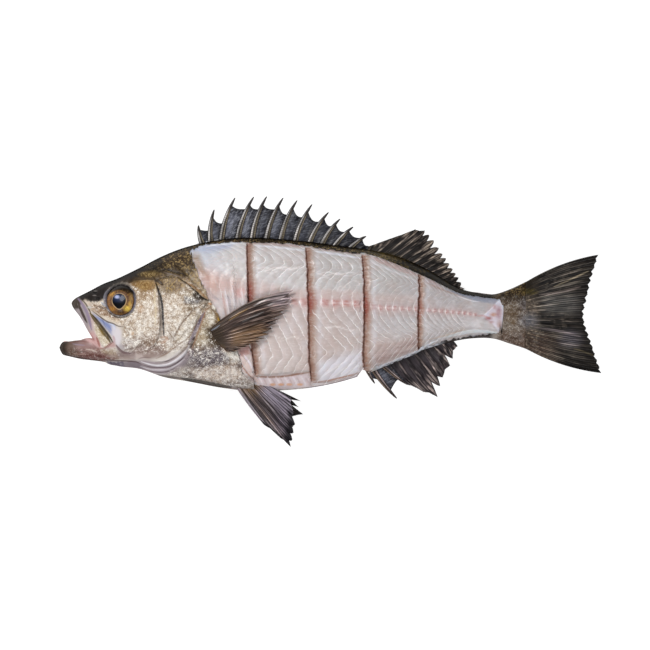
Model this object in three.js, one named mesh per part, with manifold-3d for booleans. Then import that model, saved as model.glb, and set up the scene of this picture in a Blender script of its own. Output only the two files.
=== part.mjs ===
// A whole raw sea bass, 460 mm long, lying on its right side with its mouth open. The left flank is
// skinned from the shoulder to the wrist of the tail, and four deep cuts score the bare flesh.
//
// Fish frame, in millimetres: x runs from the tip of the lower jaw to the tail, y from the backbone
// towards the back, and z up from the table that the fish lies on. The last lines move the whole
// fish so that the origin is at the bottom centre of its box.
import * as THREE from 'three';
import { mergeVertices } from 'three/addons/utils/BufferGeometryUtils.js';
import Module from 'manifold-3d';

const wasm = await Module();
wasm.setup();

// ---------------------------------------------------------------- driving dimensions

const GAP = 0.35; // between pieces that touch
const SKIN = 1.2; // the bare flesh lies this far under the skin
const SECTION_POWER = 2.3; // 2 is an ellipse, more is boxier
const RING = 28; // points around a section of the body
const JAW_RING = 18;
const TRUNK_STEPS = 40;

// Stations of the body: x, edge at the back, edge at the belly, half thickness, height of the
// plane through the backbone over the table. Up to x = 38 the belly edge is the upper lip.
const BODY = [
  [10.5, 4.6, -1.8, 4.0, 25.0],
  [13.0, 5.4, -4.4, 7.0, 25.0],
  [18.0, 8.0, -11.4, 9.5, 25.2],
  [27.0, 12.5, -30.2, 13.2, 25.6],
  [38.0, 18.2, -47.6, 16.5, 26.0],
  [50.0, 22.7, -51.9, 19.5, 26.4],
  [69.0, 31.8, -54.4, 23.5, 27.0],
  [89.0, 42.0, -61.2, 26.0, 27.2],
  [110.0, 49.8, -65.0, 27.0, 27.2],
  [140.0, 56.0, -70.6, 28.0, 27.2],
  [165.0, 57.2, -73.0, 29.3, 27.4],
  [205.0, 54.6, -71.4, 29.6, 27.4],
  [235.0, 50.8, -66.3, 28.4, 27.0],
  [262.0, 47.2, -58.2, 26.0, 26.2],
  [290.0, 40.6, -47.2, 22.4, 24.6],
  [316.0, 29.0, -36.8, 17.6, 21.6],
  [340.0, 14.8, -30.1, 13.4, 18.0],
  [358.0, 10.2, -28.1, 11.0, 15.4],
  [371.0, 9.4, -28.8, 9.6, 13.6],
  [384.0, 13.4, -32.8, 8.0, 11.8],
  [396.0, 18.9, -36.6, 5.6, 10.2],
  [403.0, 22.3, -39.4, 2.6, 9.2],
];

// The same columns for the lower jaw, which the belly edge of the head carries on.
const JAW = [
  [0.2, -33.0, -39.4, 2.4, 25.0],
  [2.5, -31.4, -42.0, 5.0, 25.0],
  [8.0, -30.2, -43.6, 8.0, 25.0],
  [18.0, -28.6, -45.8, 11.0, 25.2],
  [26.0, -25.4, -46.8, 13.2, 25.6],
  [38.0, -30.0, -48.4, 14.6, 26.0],
  [52.0, -36.0, -51.9, 13.0, 26.4],
  [70.0, -42.0, -53.2, 7.0, 26.8],
];

// The hollow of the mouth, open to the front between the jaws.
const MOUTH = [
  [4.5, -27.0, -37.5, 3.0, 25.0],
  [10.0, -10.0, -38.6, 4.6, 25.0],
  [14.5, 1.2, -39.4, 5.2, 25.0],
  [22.0, 3.2, -40.6, 8.0, 25.3],
  [34.0, 0.5, -42.0, 12.0, 25.8],
  [48.0, -6.0, -42.5, 13.5, 26.4],
  [62.0, -15.0, -38.0, 12.0, 26.8],
  [72.0, -22.0, -31.0, 5.0, 27.0],
];

// Plates and folds that stand proud of the head. Each outline is a list of smooth runs that meet at
// corners; rise is the height of its edge, and the plate fades into the head from full to none.
const HEAD_PLATES = [
  { // shoulder girdle, under the gill opening
    outline: [
      [[127, 40], [136, 14], [143, -8], [140, -28], [128, -48], [112, -62]],
      [[112, -62], [96, -58]],
      [[96, -58], [96, 40]],
    ],
    rise: 0.9, fade: [100, 118],
  },
  { // outer branchial membrane
    outline: [
      [[119, -8], [117, -24], [108, -42], [92, -55], [72, -58]],
      [[72, -58], [60, -48]],
      [[60, -48], [110, -2]],
    ],
    rise: 1.6, fade: [48, 84],
  },
  { // inner branchial membrane
    outline: [
      [[123, -4], [115, -20], [104, -38], [90, -49], [70, -52.5]],
      [[70, -52.5], [60, -44]],
      [[60, -44], [112, 2]],
    ],
    rise: 2.3, fade: [48, 84],
  },
  { // gill cover
    outline: [
      [[99.5, 33.5], [113, 21.5], [120, 9.5], [128, 2.0]],
      [[128, 2.0], [121, -6.0], [112, -20.0], [101, -32.0], [90, -41.5], [70, -46]],
      [[70, -46], [68, 18]],
      [[68, 18], [99.5, 33.5]],
    ],
    rise: 3.2, fade: [64, 96],
  },
  { // cheek, in front of the gill cover
    outline: [
      [[80, 25], [84.5, 19], [87.5, 2], [88.5, -18], [84, -33], [72, -41], [58, -43]],
      [[58, -43], [68, 14]],
      [[68, 14], [80, 25]],
    ],
    rise: 4.2, fade: [60, 86],
  },
  { // upper jaw blade beside the mouth
    outline: [
      [[14, 5], [24, 5.5], [31, -0.5], [38, -12], [46, -31.5]],
      [[46, -31.5], [41, -36.5], [34, -37.5]],
      [[34, -37.5], [27, -28.5], [20, -14.5], [14, -1]],
      [[14, -1], [14, 5]],
    ],
    rise: 1.3, fade: [12, 22],
  },
];
const ORBIT = { x: 54.5, y: 3.8, radius: 12.8, depth: 7.4, sunk: 2.7 };

// Window where the skin is off. It passes outside the belly edge, which lies bare.
const WINDOW = [
  [[111.4, 45.5], [124, 51.2], [158, 54.0], [205, 51.6], [264, 43.0], [304, 27.6], [340, 11.0], [358, 7.7],
    [377.5, 5.1]],
  [[377.5, 5.1], [380, -6], [375, -23.8]],
  [[375, -23.8], [341, -28.0], [312, -34.2], [285, -46.0], [262, -55.2]],
  [[262, -55.2], [258, -80], [166, -80]],
  [[166, -80], [166.5, -67.0], [157.5, -58.5], [152.2, -38], [143, -20], [134.3, -4.3], [126.7, 8.5],
    [118, 30], [111.4, 45.5]],
];
const VENT = [[252.5, -72], [253.8, -60.6], [258, -54.8], [263, -57.0], [266, -72]];

// Cuts across the fillet: top and bottom of each, and the width of its mouth. The rear wall slopes.
const CUTS = [
  { top: [161.0, 51.5], bottom: [166.8, -59.0], mouth: 6.0 },
  { top: [210.6, 47.6], bottom: [214.2, -64.5], mouth: 6.2 },
  { top: [258.2, 41.6], bottom: [259.8, -57.0], mouth: 5.8 },
  { top: [306.0, 24.8], bottom: [305.2, -38.5], mouth: 4.6 },
];
const CUT_DEPTH = 15;
const CUT_FLOOR = 1.0; // width of a cut at its bottom
const OPEN_AIR = 80; // a height clear over the whole fish
const UNDER_TABLE = -5;

// The belly flap in front, below the line between two points, lies a step lower than the fillet.
const BELLY_STEP = { from: [164, -60.5], to: [213, -55.5], drop: 4.0 };

// Spiny fin of the back, front to rear. The web in front of a spine meets it at a share of its
// length. The last entry is the rear edge of the web, which has no spine.
const BACK_SPINES = [
  { root: [123.5, 49], tip: [118.6, 67.8], web: 0 },
  { root: [129.5, 50], tip: [132.0, 81.2], web: 0.46 },
  { root: [138.0, 51], tip: [149.8, 91.3], web: 0.46 },
  { root: [151.5, 52], tip: [165.7, 92.0], web: 0.72 },
  { root: [164.0, 52], tip: [176.7, 92.4], web: 0.71 },
  { root: [176.0, 52], tip: [190.7, 91.2], web: 0.72 },
  { root: [188.0, 51], tip: [202.6, 89.1], web: 0.68 },
  { root: [200.0, 49], tip: [215.3, 85.7], web: 0.69 },
  { root: [211.5, 48], tip: [229.3, 78.9], web: 0.71 },
  { root: [221.5, 46], tip: [239.1, 73.3], web: 0.72 },
  { root: [231.5, 45], tip: [250.2, 66.5], web: 0.72 },
  { root: [244.0, 44], tip: [261.2, 58.6], web: 0.72 },
  { root: [262.0, 41], tip: [264.0, 59.8], web: 0.5 },
];
const BACK_SPINE = { radius: 2.3, bow: 0.06, rearWeb: 0.81 };
const BACK_WEB = {
  thick: [0.9, 0.35], // half thickness at the root and at the margin
  columns: [0.15, 0.5, 1], // where the margin has its points, as shares of the way to the next spine
  sag: 2.6, // the margin falls steeply behind a spine, then runs level to the next
};

// Soft fins. Every ray has its end and how deep the margin is torn behind it.
const SOFT_BACK_FIN = {
  roots: [[263.4, 41], [290, 35], [316, 24], [337, 11]],
  ends: [
    [265.2, 51.2, 0], [281.5, 56.6, 0], [303.5, 64.8, 0], [311.6, 63.8, 3.2], [315.2, 60.0, 3.6],
    [319.4, 55.2, 4.2], [323.4, 49.0, 4.4], [326.6, 43.8, 2.2], [329.6, 40.0, 2.6], [332.6, 35.4, 2.4],
    [335.4, 31.0, 2.4], [338.0, 27.2, 2.0], [340.6, 23.6, 2.4], [342.6, 19.4, 2.0], [345.4, 14.8, 0],
  ],
  bow: -0.02, ray: [1.3, 0.7], web: [0.7, 0.35], rows: 3,
};
const SPINE_TAPER = 0.6; // 1 is a straight cone, less is fuller
const SPINE_POINT = 0.22; // radius of a spine at its tip

// The web behind a spine of the anal fin meets it at a share of its length.
const ANAL_SPINES = [
  { root: [260.0, -50], tip: [268.6, -66.8], radius: 1.9, web: 0.7 },
  { root: [264.5, -50], tip: [287.4, -79.6], radius: 2.7, web: 0.78 },
  { root: [272.0, -48], tip: [297.0, -68.0], radius: 2.1, web: 1 },
];
const ANAL_SPINE_BOW = -0.03;
const ANAL_NOTCHES = [0.44, 0.72]; // the web between two spines, as shares of the rear one
const ANAL_SPINE_WEB = [0.8, 0.4];
const ANAL_FIN = {
  roots: [[280, -44], [300, -36.5], [328, -27]],
  ends: [
    [299.0, -68.6, 0], [322.4, -78.8, 9.6], [324.6, -69.0, 5.4], [327.0, -61.8, 1.5], [333.2, -51.8, 7.8],
    [335.4, -45.8, 2.4], [339.8, -35.2, 0],
  ],
  bow: -0.09, ray: [1.3, 0.7], web: [0.7, 0.35], rows: 3,
};
const TAIL_FIN = {
  roots: [[403.6, 21.6], [403.6, 0], [403.6, -38.8]],
  ends: [
    [461.8, 43.6], [456.0, 25.2], [451.4, 5.3], [448.8, -11.0], [453.8, -27.4], [459.0, -43.0],
    [464.2, -58.4],
  ],
  rays: 17, tear: 1.8, bow: 0.05, ray: [1.9, 0.7], web: [1.5, 0.35], rows: 4,
  tipHeight: 1.4, // the tail hangs down to the table
  hang: 0.8, // 1 hangs straight, less falls sooner
};
const LEFT_PECTORAL = {
  roots: [[129.5, -20.8], [136, -29], [146.5, -37.5]],
  ends: [
    [199.4, 12.0], [200.4, 6.8], [196.8, -0.4], [192.2, -7.7], [184.0, -17.9], [179.4, -25.5], [172.6, -30.8],
    [163.6, -34.6], [154.8, -37.8],
  ],
  rays: 12, tear: 2.2, bow: 0.03, ray: [1.1, 0.6], web: [0.6, 0.35], rows: 5,
  root: 1.2, lift: 5.2, // heights over the flank: at the root, and what the middle adds
  arch: 0.86, // share of a full arch, so that the ends stay a little off the flank
};
const RIGHT_PECTORAL = {
  roots: [[130, -22], [136, -31], [140, -38]],
  ends: [[190, -52], [188, -58], [181, -63], [172, -66], [160, -67.5], [149, -66]],
  rays: 9, tear: 2.0, bow: 0.02, ray: [0.8, 0.5], web: [0.5, 0.35], rows: 4,
  lowest: 1.0, // height of its middle plane where it is pressed to the table
  sink: 1.4, // how far its ends press into the flank
};
const LEFT_PELVIC = {
  roots: [[146.5, -64], [157, -64], [168, -64]],
  ends: [
    [174.3, -102.0, 0], [197.0, -121.0, 3], [198.4, -115.0, 3], [199.6, -108.6, 3.4], [200.8, -101.6, 4],
    [198.4, -93.0, 3], [196.0, -80.8, 0],
  ],
  bow: -0.02, ray: [1.2, 0.6], web: [0.7, 0.35], rows: 4,
  rise: 8, fall: 12, // height of the root over the backbone's plane, and how far the ends hang
};
const RIGHT_PELVIC = {
  ...LEFT_PELVIC,
  ends: [
    [177.0, -99.5, 0], [198.0, -115.0, 3], [199.0, -104.5, 4], [207.6, -93.6, 6], [203.2, -88.4, 5],
    [206.4, -82.6, 4], [198.0, -77.5, 0],
  ],
  rise: -9, fall: 10,
};
const SOFT_DROOP = 3.5; // soft fins sag this far at their ends

// ---------------------------------------------------------------- curves and solids

/** A smooth function through knots [x, y], with slopes from the knots on each side. */
function through(knots) {
  const slope = knots.map((k, i) => {
    const before = knots[Math.max(i - 1, 0)];
    const after = knots[Math.min(i + 1, knots.length - 1)];
    return (after[1] - before[1]) / (after[0] - before[0]);
  });
  return (x) => {
    let i = 0;
    while (i < knots.length - 2 && x > knots[i + 1][0]) i += 1;
    const [x0, y0] = knots[i];
    const [x1, y1] = knots[i + 1];
    const width = x1 - x0;
    const t = THREE.MathUtils.clamp((x - x0) / width, 0, 1);
    const rest = 1 - t;
    return y0 * rest * rest * (1 + 2 * t) + y1 * t * t * (3 - 2 * t)
      + width * t * rest * (slope[i] * rest - slope[i + 1] * t);
  };
}

/** The four profile curves of a table of stations. */
function profiles(stations) {
  const [back, belly, half, mid] = [1, 2, 3, 4].map((c) => through(stations.map((s) => [s[0], s[c]])));
  return { back, belly, half, mid, from: stations[0][0], to: stations.at(-1)[0] };
}

const body = profiles(BODY);

/** Height of the body's upper (side = 1) or lower (side = -1) flank over the table. */
function flank(x, y, side = 1) {
  const centre = (body.back(x) + body.belly(x)) / 2;
  const reach = (body.back(x) - body.belly(x)) / 2;
  const across = Math.min(Math.abs(y - centre) / reach, 1);
  const bulge = (1 - across ** SECTION_POWER) ** (1 / SECTION_POWER);
  return Math.max(body.mid(x) + side * body.half(x) * bulge, 0);
}

/** A closed manifold solid from a geometry whose corners are shared. */
function solid(geometry) {
  const bare = geometry.clone();
  bare.deleteAttribute('normal');
  bare.deleteAttribute('uv');
  const merged = mergeVertices(bare, 1e-4);
  return new wasm.Manifold(new wasm.Mesh({
    numProp: 3,
    vertProperties: new Float32Array(merged.attributes.position.array),
    triVerts: new Uint32Array(merged.index.array),
  }));
}

/** A solid from corner points and triangles, turned right side out. */
function solidOf(points, triangles) {
  const geometry = new THREE.BufferGeometry();
  geometry.setAttribute('position', new THREE.Float32BufferAttribute(points.flat(), 3));
  geometry.setIndex(triangles.flat());
  const shape = solid(geometry);
  return shape.volume() > 0 ? shape : solidOf(points, triangles.map(([a, b, c]) => [a, c, b]));
}

/**
 * A solid skinned over oval sections and cut off flat at the table. It is grown by swell(x) on each
 * flank, and by edge at the back and belly.
 */
function loft(shape, { steps, ring = RING, swell = () => 0, edge = 0, from = shape.from, to = shape.to }) {
  const points = [];
  const triangles = [];
  const power = 2 / SECTION_POWER;
  for (let i = 0; i <= steps; i += 1) {
    const x = THREE.MathUtils.lerp(from, to, i / steps);
    const centre = (shape.back(x) + shape.belly(x)) / 2;
    const reach = (shape.back(x) - shape.belly(x)) / 2 + edge;
    for (let j = 0; j < ring; j += 1) {
      const angle = (2 * Math.PI * j) / ring;
      const c = Math.cos(angle);
      const s = Math.sin(angle);
      const y = centre + reach * Math.sign(c) * Math.abs(c) ** power;
      const z = shape.mid(x) + (shape.half(x) + swell(x)) * Math.sign(s) * Math.abs(s) ** power;
      points.push([x, y, Math.max(z, 0)]);
    }
  }
  for (let i = 0; i < steps; i += 1) {
    for (let j = 0; j < ring; j += 1) {
      const a = i * ring + j;
      const b = i * ring + ((j + 1) % ring);
      triangles.push([a, b, a + ring], [b, b + ring, a + ring]);
    }
  }
  for (const end of [0, steps]) {
    const first = end * ring;
    const x = points[first][0];
    const hub = points.push([x, (shape.back(x) + shape.belly(x)) / 2, shape.mid(x)]) - 1;
    for (let j = 0; j < ring; j += 1) {
      const a = first + j;
      const b = first + ((j + 1) % ring);
      triangles.push(end === 0 ? [hub, b, a] : [hub, a, b]);
    }
  }
  return solidOf(points, triangles);
}

/** A shape whose outline is a list of smooth runs that meet at corners, moved outwards by a margin. */
function outlineShape(runs, margin = 0) {
  const traced = new THREE.Shape();
  traced.moveTo(...runs[0][0]);
  for (const run of runs) {
    if (run.length === 2) traced.lineTo(...run[1]);
    else traced.splineThru(run.slice(1).map((p) => new THREE.Vector2(...p)));
  }
  const points = traced.getPoints(2).filter((p, i, all) => i === 0 || p.distanceTo(all[i - 1]) > 0.2);
  if (points[0].distanceTo(points.at(-1)) < 0.2) points.pop();
  const turn = THREE.ShapeUtils.isClockWise(points) ? 1 : -1;
  return new THREE.Shape(points.map((p, i) => {
    const before = points[(i + points.length - 1) % points.length];
    const after = points[(i + 1) % points.length];
    const along = after.clone().sub(before).normalize();
    return new THREE.Vector2(p.x - turn * along.y * margin, p.y + turn * along.x * margin);
  }));
}

/** A flat shape pushed straight up from under the table into the air over the fish. */
function prism(shape) {
  const geometry = new THREE.ExtrudeGeometry(shape, { depth: OPEN_AIR - UNDER_TABLE, bevelEnabled: false });
  return solid(geometry.translate(0, 0, UNDER_TABLE));
}

const polygon = (points) => new THREE.Shape(points.map((p) => new THREE.Vector2(...p)));

/** Everything under the plane through the backbone, raised by lift. */
function underBackbone(lift) {
  const xs = Array.from({ length: 25 }, (_, i) => THREE.MathUtils.lerp(100, 400, i / 24));
  const side = polygon([
    [xs[0], UNDER_TABLE],
    [xs.at(-1), UNDER_TABLE],
    ...xs.toReversed().map((x) => [x, body.mid(x) + lift]),
  ]);
  const across = 200; // more than the fish is deep
  const geometry = new THREE.ExtrudeGeometry(side, { depth: across, bevelEnabled: false });
  return solid(geometry.rotateX(Math.PI / 2).translate(0, across / 2, 0));
}

/** A point at a share of the way from a to b. */
const between = (a, b, share) => [0, 1].map((k) => THREE.MathUtils.lerp(a[k], b[k], share));
const middle = (a, b) => between(a, b, 0.5);

/** The largest separate body of a solid, so that no crumb of a cut stays. */
function largest(shape) {
  return shape.decompose().reduce((a, b) => (a.volume() > b.volume() ? a : b));
}

/**
 * A fin's pleated sheet. Each column runs from a root to its end on the margin, bowed sideways by
 * bow, with a half thickness at the root and at the end. height(x, y, t) places it over the table.
 */
function pleatedSheet(columns, rows, height, grow = 0) {
  const points = [];
  const triangles = [];
  for (const side of [1, -1]) {
    for (const { root, end, thick, bow = 0 } of columns) {
      for (let r = 0; r <= rows; r += 1) {
        const t = r / rows;
        const swing = bow * 4 * t * (1 - t);
        const x = THREE.MathUtils.lerp(root[0], end[0], t) - (end[1] - root[1]) * swing;
        const y = THREE.MathUtils.lerp(root[1], end[1], t) + (end[0] - root[0]) * swing;
        const half = THREE.MathUtils.lerp(thick[0], thick[1], t) + grow;
        points.push([x, y, height(x, y, t) + side * half]);
      }
    }
  }
  const perSide = columns.length * (rows + 1);
  const at = (c, r) => c * (rows + 1) + r;
  const quad = (a, b, c, d) => triangles.push([a, b, c], [a, c, d]);
  for (let c = 0; c < columns.length - 1; c += 1) {
    for (let r = 0; r < rows; r += 1) {
      quad(at(c, r), at(c, r + 1), at(c + 1, r + 1), at(c + 1, r));
      quad(perSide + at(c + 1, r), perSide + at(c + 1, r + 1), perSide + at(c, r + 1), perSide + at(c, r));
    }
    quad(at(c, 0), at(c + 1, 0), perSide + at(c + 1, 0), perSide + at(c, 0));
    quad(at(c + 1, rows), at(c, rows), perSide + at(c, rows), perSide + at(c + 1, rows));
  }
  for (let r = 0; r < rows; r += 1) {
    const last = columns.length - 1;
    quad(at(0, r + 1), at(0, r), perSide + at(0, r), perSide + at(0, r + 1));
    quad(at(last, r), at(last, r + 1), perSide + at(last, r + 1), perSide + at(last, r));
  }
  return solidOf(points, triangles);
}

/** Rays of a soft fin: roots spread along a curve, and ends as listed, or spread along a curve too. */
function finRays({ roots, ends, rays, tear, bow }) {
  const rootCurve = new THREE.SplineCurve(roots.map((p) => new THREE.Vector2(...p)));
  const endCurve = new THREE.SplineCurve(ends.map(([x, y]) => new THREE.Vector2(x, y)));
  const count = rays ?? ends.length;
  return Array.from({ length: count }, (_, i) => {
    const t = i / (count - 1);
    return {
      root: rootCurve.getPointAt(t).toArray(),
      end: rays ? endCurve.getPointAt(t).toArray() : ends[i].slice(0, 2),
      tear: tear ?? ends[i][2],
      bow: bow * (1 - 2 * t),
    };
  });
}

/** Columns of a soft fin: a thick ray to every end, and a thin web between two rays, torn back. */
function softColumns(fin) {
  const rays = finRays(fin);
  return rays.flatMap(({ root, end, tear, bow }, i) => {
    const thickRay = { root, end, bow, thick: fin.ray };
    const next = rays[i + 1];
    if (!next) return [thickRay];
    const foot = middle(root, next.root);
    const brim = middle(end, next.end);
    const keep = 1 - tear / Math.hypot(brim[0] - foot[0], brim[1] - foot[1]);
    const web = { root: foot, end: between(foot, brim, keep), bow: (bow + next.bow) / 2, thick: fin.web };
    return [thickRay, web];
  });
}

/** A round spine that tapers to a point from root to tip, bowed sideways. */
function spine(root, tip, radius, bow, height) {
  const points = [];
  const triangles = [];
  const steps = 3;
  const sides = 5;
  const along = new THREE.Vector2(tip[0] - root[0], tip[1] - root[1]);
  const across = new THREE.Vector2(-along.y, along.x).normalize();
  for (let i = 0; i <= steps; i += 1) {
    const t = i / steps;
    const swing = bow * 4 * t * (1 - t) * along.length();
    const x = root[0] + along.x * t + across.x * swing;
    const y = root[1] + along.y * t + across.y * swing;
    const r = radius * (1 - t) ** SPINE_TAPER + SPINE_POINT;
    for (let j = 0; j < sides; j += 1) {
      const angle = (2 * Math.PI * j) / sides;
      const side = Math.cos(angle) * r;
      points.push([x + across.x * side, y + across.y * side, height(x, y) + Math.sin(angle) * r]);
    }
  }
  for (let i = 0; i < steps; i += 1) {
    for (let j = 0; j < sides; j += 1) {
      const a = i * sides + j;
      const b = i * sides + ((j + 1) % sides);
      triangles.push([a, b, a + sides], [b, b + sides, a + sides]);
    }
  }
  for (let j = 1; j < sides - 1; j += 1) {
    triangles.push([0, j + 1, j], [steps * sides, steps * sides + j, steps * sides + j + 1]);
  }
  return solidOf(points, triangles);
}

// ---------------------------------------------------------------- body, fillet and eyes

const PLATE_SPAN = { from: 10.6, to: 146, steps: 16 };

/** A plate of the head, fading in along x, on both cheeks. */
function headPlate({ outline, rise, fade }, grow) {
  const swell = (x) => rise * THREE.MathUtils.smoothstep(x, ...fade) + grow;
  const swollen = loft(body, { ...PLATE_SPAN, swell, edge: grow });
  return swollen.intersect(prism(outlineShape(outline, grow)));
}

/** The outside of the whole fish without its fins, grown by a margin. */
function wholeFish(grow) {
  let shape = loft(body, { steps: TRUNK_STEPS, swell: () => grow, edge: grow });
  shape = shape.add(loft(profiles(JAW), { steps: 9, ring: JAW_RING, swell: () => grow, edge: grow }));
  for (const plate of HEAD_PLATES) shape = shape.add(headPlate(plate, grow));
  return shape;
}

/** The wedge of air in one cut: sheer in front, sloped behind, level along its floor. */
function cutWedge({ top, bottom, mouth }) {
  const surface = flank(top[0], (top[1] + bottom[1]) / 2) - SKIN;
  const floor = surface - CUT_DEPTH;
  const wide = CUT_FLOOR + ((mouth - CUT_FLOOR) * (OPEN_AIR - floor)) / CUT_DEPTH;
  const points = [];
  for (const [x, y] of [top, bottom]) {
    points.push([x, y, floor], [x + CUT_FLOOR, y, floor], [x + wide, y, OPEN_AIR], [x, y, OPEN_AIR]);
  }
  const ends = [[0, 1, 2], [0, 2, 3], [4, 6, 5], [4, 7, 6]];
  const walls = [0, 1, 2, 3].flatMap((i) => {
    const j = (i + 1) % 4;
    return [[i, i + 4, j + 4], [i, j + 4, j]];
  });
  return solidOf(points, [...ends, ...walls]);
}

/** The strip of belly flap that lies lower than the fillet: what is over it is cut away. */
function overBellyFlap() {
  const { from, to, drop } = BELLY_STEP;
  const below = 30; // clear of the belly's edge
  const strip = polygon([from, to, [to[0], to[1] - below], [from[0], from[1] - below]]);
  return prism(strip).subtract(loft(body, { steps: TRUNK_STEPS, swell: () => -SKIN - drop }));
}

/** The flattened eyeball, square to the cheek and sunk into it. */
function eyeball(side, grow = 0) {
  const { x, y, radius, depth, sunk } = ORBIT;
  const at = (dx, dy) => new THREE.Vector3(x + dx, y + dy, flank(x + dx, y + dy, side));
  const out = at(5, 0).sub(at(-5, 0)).cross(at(0, 5).sub(at(0, -5))).normalize().multiplyScalar(side);
  const ball = new THREE.SphereGeometry(1, 16, 10).rotateX(Math.PI / 2);
  ball.scale(radius + grow, radius + grow, depth + grow);
  ball.applyQuaternion(new THREE.Quaternion().setFromUnitVectors(new THREE.Vector3(0, 0, 1), out));
  return solid(ball.translate(...at(0, 0).addScaledVector(out, -sunk)));
}

function makeBody() {
  let shape = wholeFish(0);
  shape = shape.subtract(loft(profiles(MOUTH), { steps: 9, ring: JAW_RING }));
  shape = shape.subtract(prism(outlineShape(WINDOW, GAP)).subtract(underBackbone(0)));
  shape = shape.subtract(prism(polygon(VENT)));
  for (const side of [1, -1]) shape = shape.subtract(eyeball(side, GAP));
  shape = shape.subtract(makeRightPectoral(GAP));
  return largest(shape);
}

function makeFillet() {
  let shape = loft(body, { steps: TRUNK_STEPS, swell: () => -SKIN });
  shape = shape.intersect(prism(outlineShape(WINDOW)));
  shape = shape.subtract(underBackbone(GAP));
  shape = shape.subtract(prism(polygon(VENT)));
  shape = shape.subtract(overBellyFlap());
  for (const cut of CUTS) shape = shape.subtract(cutWedge(cut));
  return largest(shape);
}

// ---------------------------------------------------------------- fins

const TAIL_ROOT = BODY.at(-1)[0];
const midHeight = (x) => body.mid(Math.min(x, TAIL_ROOT));
const droop = (x, y, t) => midHeight(x) - SOFT_DROOP * t * t;

function makeSpinyFin() {
  const { radius, bow, rearWeb } = BACK_SPINE;
  const { thick } = BACK_WEB;
  const spines = BACK_SPINES.slice(0, -1);
  const [front] = spines;
  const columns = [{ root: front.root, end: between(front.root, front.tip, rearWeb), thick }];
  spines.forEach((spike, i) => {
    const next = BACK_SPINES[i + 1];
    const high = between(spike.root, spike.tip, rearWeb);
    const low = between(next.root, next.tip, next.web);
    for (const share of BACK_WEB.columns) {
      const sag = (1 - share) ** BACK_WEB.sag;
      const brim = [THREE.MathUtils.lerp(high[0], low[0], share), THREE.MathUtils.lerp(low[1], high[1], sag)];
      columns.push({ root: between(spike.root, next.root, share), end: brim, thick });
    }
  });
  let fin = pleatedSheet(columns, 1, midHeight);
  for (const { root, tip } of spines) fin = fin.add(spine(root, tip, radius, bow, midHeight));
  return trimmed(fin);
}

const makeSoftBackFin = () => trimmed(pleatedSheet(softColumns(SOFT_BACK_FIN), SOFT_BACK_FIN.rows, droop));

function makeAnalFin() {
  const thick = ANAL_SPINE_WEB;
  const front = ANAL_SPINES.flatMap(({ root, tip, web }, i) => {
    const ridge = { root, end: between(root, tip, web), thick };
    const next = ANAL_SPINES[i + 1];
    if (!next) return [ridge];
    const notch = between(next.root, next.tip, ANAL_NOTCHES[i]);
    return [ridge, { root: middle(root, next.root), end: notch, thick }];
  });
  let fin = pleatedSheet([...front, ...softColumns(ANAL_FIN)], ANAL_FIN.rows, droop);
  for (const { root, tip, radius } of ANAL_SPINES) {
    fin = fin.add(spine(root, tip, radius, ANAL_SPINE_BOW, midHeight));
  }
  return trimmed(fin);
}

function makeTailFin() {
  const length = TAIL_FIN.ends.at(-1)[0] - TAIL_ROOT;
  const height = (x) => {
    const t = THREE.MathUtils.clamp((x - TAIL_ROOT) / length, 0, 1);
    return THREE.MathUtils.lerp(midHeight(x), TAIL_FIN.tipHeight, t ** TAIL_FIN.hang);
  };
  return pleatedSheet(softColumns(TAIL_FIN), TAIL_FIN.rows, height);
}

/** The left breast fin arches over the flank. */
function makeLeftPectoral() {
  const { root, lift, arch, rows } = LEFT_PECTORAL;
  const height = (x, y, t) => flank(x, y) + root + lift * Math.sin(arch * Math.PI * t);
  return trimmed(pleatedSheet(softColumns(LEFT_PECTORAL), rows, height));
}

/** The right breast fin is pressed flat between the fish and the table. */
function makeRightPectoral(grow = 0) {
  const { lowest, sink, rows } = RIGHT_PECTORAL;
  const height = (x, y, t) => Math.max(lowest, flank(x, y, -1) - sink * t);
  return pleatedSheet(softColumns(RIGHT_PECTORAL), rows, height, grow);
}

function makePelvic(fin) {
  const height = (x, y, t) => midHeight(x) + fin.rise - fin.fall * t * t;
  return trimmed(pleatedSheet(softColumns(fin), fin.rows, height));
}

/** A fin with everything that reaches into the fish taken off, a gap clear of it. */
function trimmed(fin) {
  return largest(fin.subtract(wholeFish(GAP)));
}

// ---------------------------------------------------------------- the fish

const skin = new THREE.MeshStandardMaterial({ color: 0x6d6455, roughness: 0.35, metalness: 0.25 });
const flesh = new THREE.MeshStandardMaterial({ color: 0xe2d3cd, roughness: 0.3, metalness: 0 });
const eye = new THREE.MeshStandardMaterial({ color: 0xb97f22, roughness: 0.1, metalness: 0.1 });
const darkFin = new THREE.MeshStandardMaterial({ color: 0x2e2b2c, roughness: 0.45, metalness: 0 });
const brownFin = new THREE.MeshStandardMaterial({ color: 0x5a4a3e, roughness: 0.45, metalness: 0 });

function piece(name, shape, material) {
  const { vertProperties, triVerts } = shape.getMesh();
  const geometry = new THREE.BufferGeometry();
  geometry.setAttribute('position', new THREE.BufferAttribute(vertProperties, 3));
  geometry.setIndex(new THREE.BufferAttribute(triVerts, 1));
  geometry.computeVertexNormals();
  const mesh = new THREE.Mesh(geometry, material);
  mesh.name = name;
  return mesh;
}

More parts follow.
